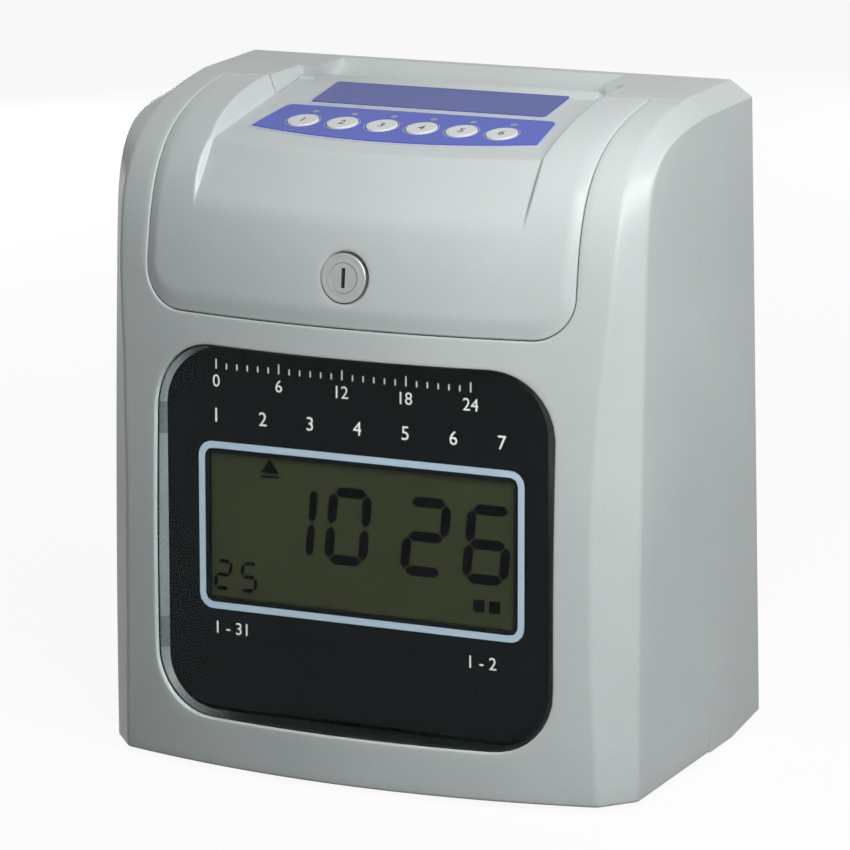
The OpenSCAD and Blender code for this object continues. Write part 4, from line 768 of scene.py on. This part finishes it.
# Liquid crystal glass with its rear reflector: dull olive, a little silvery, with a very fine sheen
lcd_glass, tree = new_material("lcd_glass")
place = add(tree, "TexCoord").outputs["Object"]
slow = add(tree, "TexNoise", {"Vector": place, "Scale": 18.0, "Detail": 2.0})
fine = add(tree, "TexNoise", {"Vector": place, "Scale": 2500.0, "Detail": 1.0})
both = add(tree, "Math", {0: slow, 1: fine}, operation="MULTIPLY")
olive = add(tree, "Mix", {"Factor": both, "A": "#242617", "B": "#303220"}, data_type="RGBA")
shader = add(tree, "BsdfPrincipled", {"Base Color": olive, "Roughness": 0.3, "IOR": 1.5,
                                      "Specular IOR Level": 0.1})
add(tree, "OutputMaterial", {"Surface": shader})
finish(lcd_glass, "lcd_glass")


def pale_ink(name, colour, shade, shine=0.5):
    """Screen-printing ink: matt, with the tiny unevenness of the mesh it went through, about 0.3 mm."""
    material, tree = new_material(name)
    place = add(tree, "TexCoord").outputs["Object"]
    mesh_mark = add(tree, "TexVoronoi", {"Vector": place, "Scale": 1 / (0.3 * MM)})
    tone = add(tree, "Mix", {"Factor": mesh_mark, "A": colour, "B": shade}, data_type="RGBA")
    lift = add(tree, "Bump", {"Height": mesh_mark, "Strength": 0.2, "Distance": 0.02 * MM})
    shader = add(tree, "BsdfPrincipled", {"Base Color": tone, "Roughness": 0.55, "Specular IOR Level": shine,
                                          "Normal": lift})
    add(tree, "OutputMaterial", {"Surface": shader})
    return material


def on_panel(flat, off):
    """Flat (x, z) points laid on the panel's leaning plane, off millimetres in front of it."""
    return np.stack([flat[:, 0], PANEL_Y + PANEL_SLOPE * flat[:, 1] - off, flat[:, 1]], 1)


def printed(name, patches, lay, material):
    """Flat polygons, each convex, become one thin printed layer; lay puts their points in place."""
    points = lay(np.concatenate([np.array(p, float) for p in patches]))
    ends = np.cumsum([0, *map(len, patches)])
    mesh = bpy.data.meshes.new(name)
    faces = [list(range(*pair)) for pair in zip(ends[:-1], ends[1:])]
    mesh.from_pydata((points + [0, 0, FOOT_H]) * MM, [], faces)
    return settle(put(name, mesh), material, wall=PRINT_T)


def numerals(texts):
    """Plain numerals from the built-in font as triangles: each entry is (text, x, z, height) with x at the
    text's middle."""
    patches = []
    for text, x, z, height in texts:
        curve = bpy.data.curves.new("numerals", "FONT")
        curve.body = text
        curve.resolution_u = 4
        writing = put("numerals", curve)
        flat = bpy.data.meshes.new_from_object(writing.evaluated_get(bpy.context.evaluated_depsgraph_get()))
        co = np.empty(len(flat.vertices) * 3)
        flat.vertices.foreach_get("co", co)
        co = co.reshape(-1, 3)[:, :2]
        low, high = co.min(0), co.max(0)
        co = (co - [(low[0] + high[0]) / 2, low[1]]) * height / (high[1] - low[1]) + [x, z]
        patches += [co[list(f.vertices)] for f in flat.polygons]
        bpy.data.objects.remove(writing)
        bpy.data.curves.remove(curve)
        bpy.data.meshes.remove(flat)
    return patches


def box_patch(left, right, low, high):
    """An upright rectangle as four (x, z) corners."""
    return [(left, low), (right, low), (right, high), (left, high)]


def seven_segments(digit, x, z, width, height, thick, slant=0.1):
    """One numeral of seven six-sided bars; every bar is cut to points at its ends, and the numeral leans by
    its slant."""
    lit = {"0": "abcdef", "1": "bc", "2": "abged", "5": "afgcd", "6": "afgedc"}[digit]
    t, w, h = thick / 2, width - thick, (height - thick) / 2
    bars = {"a": ((0, 2 * h), (w, 2 * h)), "b": ((w, h), (w, 2 * h)), "c": ((w, 0), (w, h)),
            "d": ((0, 0), (w, 0)), "e": ((0, 0), (0, h)), "f": ((0, h), (0, 2 * h)), "g": ((0, h), (w, h))}
    patches = []
    for start, end in np.array([bars[letter] for letter in lit]):
        d = unit(end - start)
        n = np.array([-d[1], d[0]]) * t
        a, b, d = start + d * 0.45, end - d * 0.45, d * t
        six = np.array([a, a + d + n, b - d + n, b, b - d - n, a + d - n]) + t
        patches.append(np.stack([x + six[:, 0] + six[:, 1] * slant, z + six[:, 1]], 1))
    return patches


# Inks as the eye sees them: a grey-blue line round the display and pale numbers, both matt. The liquid
# crystal is near black with a slight violet cast, as dull as the glass it is in.
frame_ink = pale_ink("grey_blue_ink", "#8f9bab", "#828e9e")
white_ink = pale_ink("pale_ink", "#c9cdcc", "#b7bbbb")
segment_black = pale_ink("liquid_crystal_dark", "#050507", "#0a0a0c", 0.02)
lcd_outer = rounded_rim(73.2, 63.7, 133.1, 6, 6, 161) + [2.0, 0]
lcd_inner = rounded_rim(70.4, 66.5, 130.3, 3.4, 3.4, 161) + [2.0, 0]
frame_line = np.stack([lcd_outer[:-1], lcd_outer[1:], lcd_inner[1:], lcd_inner[:-1]], 1)
marks = numerals([(str(k + 1), -63 + 21.4 * k, 141.2, 5.6) for k in range(7)])
marks += numerals([(str(6 * k), HOUR_X + 28.6 * k, 155.6, 5.0) for k in range(5)])
marks += [box_patch(HOUR_X + HOUR_STEP * k - 0.3, HOUR_X + HOUR_STEP * k + 0.3, 163, 165.4 + (k % 6 == 0) * 1.6)
          for k in range(25)]
marks += numerals([("1 - 31", -56.5, 53.6, 5.0), ("1 - 2", 57.0, 51.6, 5.0)])
figures = [[(-43.6, 121.6), (-35.0, 121.6), (-39.3, 127.6)], box_patch(-43.6, -35.0, 119.6, 120.7),
           box_patch(52, 57, 74.2, 79.2), box_patch(59, 64, 74.2, 79.2)]
for numeral in (("1", -36.2, 87, 16, 32, 3.6), ("0", -15.2, 87, 19.5, 32, 4.2),
                ("2", 19.0, 86, 20.5, 32.5, 4.2), ("6", 46.5, 85.5, 20.5, 32.5, 4.2),
                ("2", -65.8, 71.2, 8, 13, 1.7), ("5", -54.0, 71.2, 8, 13, 1.7)):
    figures += seven_segments(*numeral)
for name, patches, off, ink, slot in (("display_frame_line", frame_line, 0.12, frame_ink, "black_print"),
                                      ("panel_numbers", marks, 0.12, white_ink, "black_print"),
                                      ("display_figures", figures, -1.42, segment_black, "display_glass")):
    piece = printed(name, patches, lambda flat: on_panel(flat, off), ink)
    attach(piece, "case")


# Key panel: two blue polyester films glued to the recess floor, each inside a pale lilac line.
# Six round white keys stand through the lower film, and a small lamp shows behind each of them.
ROW_UP = KEY_Y / np.cos(TILT)
FILM_T = 0.5
FLOOR_AXIS = np.array([0, -np.sin(TILT), np.cos(TILT)])


def on_floor(flat, height):
    """Points given by x, distance up the recess floor and height off it, as x, y, z: the floor's plane leans
    by atan 0.16."""
    x, up = flat[..., 0], flat[..., 1]
    h = np.broadcast_to(height, x.shape)
    return np.stack([x, up * np.cos(TILT) - h * np.sin(TILT), FLOOR_Z + up * np.sin(TILT) + h * np.cos(TILT)], -1)


def blue_film(name, colour, shade, violet):
    """Screen-printed polyester film: satin, its blue drifts slightly to violet across the panel, with a very
    fine texture."""
    material, tree = new_material(name)
    place = add(tree, "TexCoord").outputs["Object"]
    wide = add(tree, "TexNoise", {"Vector": place, "Scale": 22.0, "Detail": 2.0})
    fine = add(tree, "TexNoise", {"Vector": place, "Scale": 1 / (0.35 * MM), "Detail": 1.0})
    base = add(tree, "Mix", {"Factor": fine, "A": colour, "B": shade}, data_type="RGBA")
    some = add(tree, "MapRange", {"Value": wide, "From Min": 0.35, "From Max": 0.75, "To Max": 0.4})
    tone = add(tree, "Mix", {"Factor": some, "A": base, "B": violet}, data_type="RGBA")
    bump = add(tree, "Bump", {"Height": fine, "Strength": 0.25, "Distance": 0.03 * MM})
    shader = add(tree, "BsdfPrincipled", {"Base Color": tone, "Roughness": 0.42, "IOR": 1.5, "Normal": bump})
    add(tree, "OutputMaterial", {"Surface": shader})
    return material


def round_film(name, material, radius, from_y):
    """A copy of a CAD film whose upright corner edges, outside x = 50 and behind from_y, become quarter
    circles."""
    shape = bmesh.new()
    shape.from_mesh(nodes[name].data)
    bmesh.ops.remove_doubles(shape, verts=shape.verts, dist=0.001 * MM)
    bmesh.ops.dissolve_limit(shape, angle_limit=0.01, verts=shape.verts, edges=shape.edges)
    corners = [e for e in shape.edges if len(e.link_faces) == 2 and e.calc_face_angle() > 0.8
               and e.calc_length() < 1.5 * FILM_T * MM and abs(e.verts[0].co.x) > 50 * MM
               and min(v.co.y for v in e.verts) > from_y * MM]
    bmesh.ops.bevel(shape, geom=corners, offset=radius * MM, offset_type="OFFSET", segments=8, profile=0.5,
                    affect="EDGES", clamp_overlap=False)
    bmesh.ops.triangulate(shape, faces=shape.faces)
    mesh = bpy.data.meshes.new(name + "_film")
    shape.to_mesh(mesh)
    shape.free()
    mesh.materials.append(material)
    piece = put(name + "_film", mesh)
    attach(piece, "cover")
    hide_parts(name)


def film_outline(corners, radii, grow):
    """A closed outline with rounded corners, grown evenly: each corner is an arc about a centre set in along
    both sides."""
    rim = []
    for a, b, c, r in zip(np.roll(corners, 1, 0), corners, np.roll(corners, -1, 0), radii):
        u, w = unit(a - b), unit(c - b)
        mid = unit(u + w)
        start, end = np.array([u[1], -u[0]]), np.array([-w[1], w[0]])
        start, end = start * -np.sign(start @ mid), end * -np.sign(end @ mid)
        t = np.linspace(0, 1, 9)[:, None]
        rim.append(b + mid * r / np.sin(np.arccos(u @ w) / 2) + unit(start * (1 - t) + end * t) * (r + grow))
    return np.concatenate([*rim, rim[0][:1]])


def film_line(name, corners, radii, near, far):
    """A low bead between two growths of an outline: outer wall, flat top and inner wall in one band."""
    rows = ((far, 0.0), (far, 0.16), (far - 0.12, 0.24), (near + 0.12, 0.24), (near, 0.16), (near, 0.0),
            (far, 0.0))
    corners = np.array(corners, float)
    grid = np.stack([on_floor(film_outline(corners, radii, grow), height + 0.02) for grow, height in rows])
    return join_grids(name, [grid], (0, 10, 200))


# Blue and lilac films: satin, with an even colour that hides what is under them
round_film("keypad_overlay", blue_film("key_film_blue", "#4055c2", "#3a4db6", "#4c57be"), 3.0, 5.0)
round_film("name_plate", blue_film("plate_film_blue", "#42529f", "#3b4a96", "#505397"), 1.5, 0.0)
lilac = pale_ink("lilac_line", "#ccd0e6", "#bfc3dc")
arc_x = np.linspace(-64, 64, 25)
key_corners = [*zip(arc_x, 227.4 - np.sqrt(250 ** 2 - arc_x ** 2)), (60.5, 12.2), (-60.5, 12.2)]
plate_corners = [(-53, 17), (53, 17), (53, 42), (-53, 42)]
for name, corners, radii in (("key_film_line", key_corners, [0.05] * len(arc_x) + [3.0] * 2),
                             ("plate_film_line", plate_corners, [1.5] * 4)):
    line = settle(film_line(name, corners, radii, 0.05, 1.5), lilac)
    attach(line, "cover")

# Key caps: white ABS from a polished mould, satin, with a faint drift between two whites
key_white = moulded_grain("key_white_abs", "#e4e6e6", "#d6d9da", 0.3, 0.35, 0.01)
key_ink = pale_ink("key_blue_ink", "#2a2f4a", "#343a58")
cap = [(0, -3.6), (7.2, -3.6), (7.45, -3.4), (7.45, -2.8), (7.2, -2.62), (6.6, -2.6), (6.6, 0.55), (6.5, 0.8),
       (6.3, 0.96), (6.0, 1.05), (5.6, 1.08), (5.2, 1.05), (4.8, 1.03), (0, 1.03)]
collar = [(7.15, FILM_T), (7.15, FILM_T + 0.06), (7.4, FILM_T + 0.06), (7.4, FILM_T), (7.15, FILM_T)]
for k, key_x in enumerate(KEY_X):
    middle = np.array([key_x, ROW_UP])
    foot = on_floor(middle, 0.0)
    key = settle(turned(f"key_cap_{k + 1}", cap, foot, FLOOR_AXIS), key_white, angle=40)
    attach(key, f"key_{k + 1}")
    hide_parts(f"key_{k + 1}")
    number = printed(f"key_number_{k + 1}", numerals([(str(k + 1), 0, -2.1, 4.2)]),
                     lambda flat: on_floor(flat + middle, 1.1), key_ink)
    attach(number, f"key_{k + 1}")
    ring = settle(turned(f"key_ring_{k + 1}", collar, foot, FLOOR_AXIS, steps=60), lilac)
    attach(ring, "cover")

# Lamp lenses: diffused plastic behind the film, a dull grey violet while the lamps are off
lamp_lens, tree = new_material("diffused_lamp_lens")
place = add(tree, "TexCoord").outputs["Object"]
cloudy = add(tree, "TexNoise", {"Vector": place, "Scale": 700.0, "Detail": 3.0})
tone = add(tree, "Mix", {"Factor": cloudy, "A": "#9a98b4", "B": "#7f7a98"}, data_type="RGBA")
rough = add(tree, "MapRange", {"Value": cloudy, "To Min": 0.2, "To Max": 0.4})
shader = add(tree, "BsdfPrincipled", {"Base Color": tone, "Roughness": rough, "IOR": 1.55,
                                      "Subsurface Weight": 0.2, "Subsurface Radius": (0.001, 0.0005, 0.0003)})
add(tree, "OutputMaterial", {"Surface": shader})
finish(lamp_lens, "status_leds")


# Cam lock: a die-cast barrel with satin nickel plating, held by a nut behind the cover.
# Its face has turned rings, and the plug with its upright key slot turns inside it with the cam.
LOCK_AXIS = np.array([0, -np.cos(LOCK_LEAN), np.sin(LOCK_LEAN)])
LOCK_AT = np.array([0, mid_y(LOCK_Z) - COVER_PROUD * np.cos(LOCK_LEAN), LOCK_Z])


def turned_nickel(name, colour, shade, ring_mm, rough):
    """Plated metal turned on a lathe: rings about the lock's axis as fine grooves, so the gloss spreads
    across them."""
    material, tree = new_material(name)
    place = add(tree, "TexCoord").outputs["Object"]
    middle = tuple((LOCK_AT + [0, 0, FOOT_H]) * MM)
    centred = add(tree, "VectorMath", {0: place, 1: middle}, operation="SUBTRACT")
    across = add(tree, "VectorMath", {0: centred, 1: (1.0, 0.0, 1.0)}, operation="MULTIPLY")
    radius = add(tree, "VectorMath", {0: across}, operation="LENGTH")
    turns = add(tree, "Math", {0: radius, 1: 2 * np.pi / (ring_mm * MM)}, operation="MULTIPLY")
    groove = add(tree, "Math", {0: turns}, operation="SINE")
    stain = add(tree, "TexNoise", {"Vector": place, "Scale": 240.0, "Detail": 4.0})
    tone = add(tree, "Mix", {"Factor": stain, "A": colour, "B": shade}, data_type="RGBA")
    gloss = add(tree, "MapRange", {"Value": stain, "To Min": rough - 0.06, "To Max": rough + 0.12})
    cut = add(tree, "Bump", {"Height": groove, "Strength": 0.35, "Distance": 0.03 * MM})
    shader = add(tree, "BsdfPrincipled", {"Base Color": tone, "Metallic": 0.9, "Roughness": gloss, "Normal": cut})
    add(tree, "OutputMaterial", {"Surface": shader})
    return material


nickel = turned_nickel("satin_nickel", "#b3b5b5", "#a0a3a3", 0.5, 0.32)
barrel = [(6.06, -15), (8.3, -15), (8.5, -14.7), (8.5, -1.6), (9.8, -1.6), (9.95, -1.4), (9.95, 0.2),
          (9.85, 0.45), (9.6, 0.62), (9.2, 0.7), (8.8, 0.68), (8.5, 0.6), (8.3, 0.56), (7.5, 0.56), (7.3, 0.64),
          (7.0, 0.68), (6.4, 0.68), (6.2, 0.64), (6.06, 0.5), (6.06, -15)]
body = settle(turned("lock_body", barrel, LOCK_AT, LOCK_AXIS, steps=96), nickel, angle=28)
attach(body, "cover")
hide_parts("lock_barrel")
finish(nickel, "lock_plug")
finish(turned_nickel("zinc_plated_nut", "#c9cbc7", "#b2b0a2", 1.2, 0.38), "lock_nut", "lock_cam")


# Feet: four rubber buttons pressed into the underside of the rear moulding.
# Moulded rubber: dark grey, matt, dusty in its pores.
rubber, tree = new_material("foot_rubber")
place = add(tree, "TexCoord").outputs["Object"]
pores = add(tree, "TexNoise", {"Vector": place, "Scale": 1 / (0.6 * MM), "Detail": 3.0})
tone = add(tree, "Mix", {"Factor": pores, "A": "#2c2c2b", "B": "#484745"}, data_type="RGBA")
bump = add(tree, "Bump", {"Height": pores, "Strength": 0.4, "Distance": 0.05 * MM})
shader = add(tree, "BsdfPrincipled", {"Base Color": tone, "Roughness": 0.75, "Normal": bump})
add(tree, "OutputMaterial", {"Surface": shader})
finish(rubber, "feet")


# Metal parts: screws and sheet, the chassis folded from galvanised steel, ground shafts and pins, the drawn
# cans of the two motors and the cast print head. Screws and tabs hold them to the base and to each other.
def bare_metal(name, colour, shade, rough, grain_mm, stretch, strength=0.3, patchy=0.5):
    """Metal with a direction: noise stretched along the last working pass gives lines, larger patches vary
    the gloss."""
    material, tree = new_material(name)
    place = add(tree, "TexCoord").outputs["Object"]
    drawn = add(tree, "Mapping", {"Vector": place, "Scale": stretch})
    lines = add(tree, "TexNoise", {"Vector": drawn, "Scale": 1 / (grain_mm * MM), "Detail": 3.0})
    patch = add(tree, "TexVoronoi", {"Vector": place, "Scale": 130.0}).outputs["Color"]
    mixed = add(tree, "Mix", {"Factor": patchy, "A": lines, "B": patch})
    tone = add(tree, "Mix", {"Factor": mixed, "A": colour, "B": shade}, data_type="RGBA")
    gloss = add(tree, "MapRange", {"Value": mixed, "To Min": rough - 0.08, "To Max": rough + 0.12})
    round_edge = add(tree, "Bevel", {"Radius": 0.15 * MM}, samples=4)
    scratch = add(tree, "Bump", {"Height": lines, "Strength": strength, "Distance": 0.02 * MM,
                                 "Normal": round_edge})
    shader = add(tree, "BsdfPrincipled", {"Base Color": tone, "Metallic": 1.0, "Roughness": gloss,
                                          "Normal": scratch})
    add(tree, "OutputMaterial", {"Surface": shader})
    return material


# Zinc plating, clear passivated: bluish silver with a faint straw tint
finish(bare_metal("clear_zinc_plating", "#c3c8cc", "#b5b3a0", 0.3, 0.5, (1, 1, 1)),
       "case_screws", "display_screws", "base_screws", "board_screws", "key_board_screws")
# Galvanised steel: crystals some 8 mm across, each with its own gloss, over faint rolling lines
finish(bare_metal("galvanised_sheet", "#b4b9bb", "#979da0", 0.36, 0.7, (1, 1, 6), patchy=0.75),
       "base_plate", "side_frame_left", "side_frame_right", "chute_back", "chute_front_lower",
       "chute_front_upper", "lift_bracket", "cassette_tray", "cross_plate", "lock_catch")
# Ground steel rod: bright, with rings left by the wheel about 0.2 mm apart
finish(bare_metal("ground_steel", "#c6c8c9", "#aeb1b3", 0.18, 0.25, (30, 1, 1), patchy=0.15),
       "guide_shafts", "hinge_pins")
# Drawn steel, zinc plated, with lines of the drawing die along the can
finish(bare_metal("drawn_motor_can", "#bcbfbe", "#9fa3a2", 0.28, 0.35, (1, 1, 0.1), patchy=0.25),
       "carriage_motor", "lift_motor")
# Die-cast alloy: duller and rougher, where the print head's pins stand behind a ground nose
finish(bare_metal("die_cast_alloy", "#9da1a3", "#7f8385", 0.42, 0.6, (1, 1, 1), strength=0.6), "print_head")


# Lead screw: a steel rod with a rolled thread that lifts the card, oiled, in a bearing at its head.
# The thread, of 2 mm pitch, is bump along the plain rod's height, and its colour is painted shade in the roots
# and painted light on the crests; the oil varies its gloss.
def wave_scale(pitch_mm):
    """Scale at which a wave texture repeats with a pitch: 2 pi over 20 times the pitch."""
    return 2 * np.pi / 20 / (pitch_mm * MM)


screw_steel, tree = new_material("rolled_thread_steel")
place = add(tree, "TexCoord").outputs["Object"]
thread_and_root_shade = add(tree, "TexWave", {"Vector": place, "Scale": wave_scale(2)}, bands_direction="Z",
             wave_profile="TRI").outputs["Fac"]
oil = add(tree, "TexNoise", {"Vector": place, "Scale": 300.0, "Detail": 3.0})
# Painted shade and light: dark grey in the thread's roots, light grey on its crests
tone = add(tree, "Mix", {"Factor": thread_and_root_shade, "A": "#8f9294", "B": "#c4c6c8"}, data_type="RGBA")
gloss = add(tree, "MapRange", {"Value": oil, "To Min": 0.15, "To Max": 0.35})
cut = add(tree, "Bump", {"Height": thread_and_root_shade, "Strength": 1.0, "Distance": 0.6 * MM})
shader = add(tree, "BsdfPrincipled", {"Base Color": tone, "Metallic": 1.0, "Roughness": gloss, "Normal": cut})
add(tree, "OutputMaterial", {"Surface": shader})
finish(screw_steel, "lead_screw")

# Moulded parts of the mechanism: black ABS, pale natural acetal where parts slide or turn, and a blue
# knob and hub for the ribbon. They come from plain polished moulds and snap or screw into place.
# All three are satin, with a little more grain than the key caps.
finish(moulded_grain("black_moulding", "#26282a", "#1b1d1f", 0.34, 0.5, 0.03),
       "power_inlet", "ribbon_cassette", "card_carrier", "print_carriage", "card_sensor")
finish(moulded_grain("natural_acetal", "#dedcd0", "#cfccbe", 0.3, 0.6, 0.02),
       "lcd_holder", "idler_post", "drive_pulley", "idler_pulley", "screw_bearing")
finish(moulded_grain("knob_blue_abs", "#3c62a8", "#33569a", 0.35, 0.5, 0.03), "ribbon_knob", "supply_hub")

# Drive belt: neoprene with moulded teeth 2 mm apart, tight between the motor's pulley and the idler.
# Matt black with a little chalky bloom; the teeth are bump along the run.
belt, tree = new_material("toothed_belt")
place = add(tree, "TexCoord").outputs["Object"]
teeth = add(tree, "TexWave", {"Vector": place, "Scale": wave_scale(2)}, bands_direction="X").outputs["Fac"]
chalk = add(tree, "TexNoise", {"Vector": place, "Scale": 500.0, "Detail": 2.0})
tone = add(tree, "Mix", {"Factor": chalk, "A": "#1d1d1e", "B": "#343332"}, data_type="RGBA")
cut = add(tree, "Bump", {"Height": teeth, "Strength": 0.8, "Distance": 0.3 * MM})
shader = add(tree, "BsdfPrincipled", {"Base Color": tone, "Roughness": 0.6, "Normal": cut})
add(tree, "OutputMaterial", {"Surface": shader})
finish(belt, "carriage_belt")

# Circuit boards: glass-epoxy under green solder mask, screwed to posts.
# Copper tracks 1.8 mm apart run square under the mask in blocks, with tinned joints in a 2.54 mm grid.
board_green, tree = new_material("green_circuit_board")
place = add(tree, "TexCoord").outputs["Object"]
tracks = add(tree, "TexBrick", {"Vector": place, "Scale": 190.0, "Color1": "#1f5c38", "Color2": "#2a6b43",
                                "Mortar": "#174a2c", "Mortar Size": 0.09, "Brick Width": 1.7, "Row Height": 0.35})
joints = add(tree, "TexVoronoi", {"Vector": place, "Scale": 1 / (2.54 * MM), "Randomness": 0.35})
tin = add(tree, "MapRange", {"Value": joints, "From Min": 0.2, "From Max": 0.14})
weave = add(tree, "TexNoise", {"Vector": place, "Scale": 1200.0, "Detail": 1.0})
mask = add(tree, "Mix", {"Factor": tin, "A": tracks, "B": "#b9bbb4"}, data_type="RGBA")
lift = add(tree, "Mix", {"Factor": 0.5, "A": tin, "B": weave})
bump = add(tree, "Bump", {"Height": lift, "Strength": 0.4, "Distance": 0.15 * MM})
shader = add(tree, "BsdfPrincipled", {"Base Color": mask, "Metallic": tin, "Roughness": 0.32, "Normal": bump})
add(tree, "OutputMaterial", {"Surface": shader})
finish(board_green, "display_board", "main_board", "key_board")

# Transformer: a stack of iron sheets round a taped coil, dipped in varnish and screwed to the base.
# The edges of the sheets show as fine dark lines, drawn 1 mm apart so that they show at all.
core_iron, tree = new_material("varnished_laminations")
place = add(tree, "TexCoord").outputs["Object"]
sheets = add(tree, "TexWave", {"Vector": place, "Scale": wave_scale(1), "Distortion": 0.4},
             bands_direction="Y").outputs["Fac"]
varnish = add(tree, "TexNoise", {"Vector": place, "Scale": 90.0, "Detail": 4.0})
tone = add(tree, "Mix", {"Factor": sheets, "A": "#3a3a3d", "B": "#6b6b6e"}, data_type="RGBA")
drip = add(tree, "Mix", {"Factor": varnish, "A": tone, "B": "#5b4630"}, data_type="RGBA")
step = add(tree, "Bump", {"Height": sheets, "Strength": 0.5, "Distance": 0.1 * MM})
shader = add(tree, "BsdfPrincipled", {"Base Color": drip, "Metallic": 0.4, "Roughness": 0.4, "Normal": step})
add(tree, "OutputMaterial", {"Surface": shader})
finish(core_iron, "transformer")

# Standby battery: three cells side by side in one green sleeve of shrunk PVC, clipped behind the board.
# The sleeve is glossy, with small wrinkles where it drew together.
sleeve, tree = new_material("green_shrink_sleeve")
place = add(tree, "TexCoord").outputs["Object"]
wrinkle = add(tree, "TexNoise", {"Vector": place, "Scale": 420.0, "Detail": 3.0, "Distortion": 1.0})
wide = add(tree, "TexNoise", {"Vector": place, "Scale": 45.0, "Detail": 2.0})
tone = add(tree, "Mix", {"Factor": wide, "A": "#2f7a4c", "B": "#276a41"}, data_type="RGBA")
bump = add(tree, "Bump", {"Height": wrinkle, "Strength": 0.3, "Distance": 0.1 * MM})
shader = add(tree, "BsdfPrincipled", {"Base Color": tone, "Roughness": 0.25, "Normal": bump})
add(tree, "OutputMaterial", {"Surface": shader})
finish(sleeve, "battery_pack")

# Ink ribbon: woven nylon, black in its upper half and red in its lower half, drawn past the print head
# from one hub to the other. Threads lie 0.35 mm apart, matt, and lighter between them.
ribbon, tree = new_material("inked_nylon_ribbon")
place = add(tree, "TexCoord").outputs["Object"]
height = add(tree, "SeparateXYZ", {0: place}).outputs["Z"]
low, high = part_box("ink_ribbon")
upper = add(tree, "Math", {0: height, 1: (low.z + high.z) / 2}, operation="GREATER_THAN")
waves = [add(tree, "TexWave", {"Vector": place, "Scale": wave_scale(0.35)}, bands_direction=way) for way in "XZ"]
cloth = add(tree, "Math", {k: wave.outputs["Fac"] for k, wave in enumerate(waves)}, operation="MULTIPLY")
two = add(tree, "Mix", {"Factor": upper, "A": "#7c1f22", "B": "#17171a"}, data_type="RGBA")
tone = add(tree, "Mix", {"Factor": cloth, "A": two, "B": "#3a2c30"}, data_type="RGBA")
bump = add(tree, "Bump", {"Height": cloth, "Strength": 0.6, "Distance": 0.08 * MM})
shader = add(tree, "BsdfPrincipled", {"Base Color": tone, "Roughness": 0.8, "Normal": bump})
add(tree, "OutputMaterial", {"Surface": shader})
finish(ribbon, "ink_ribbon")
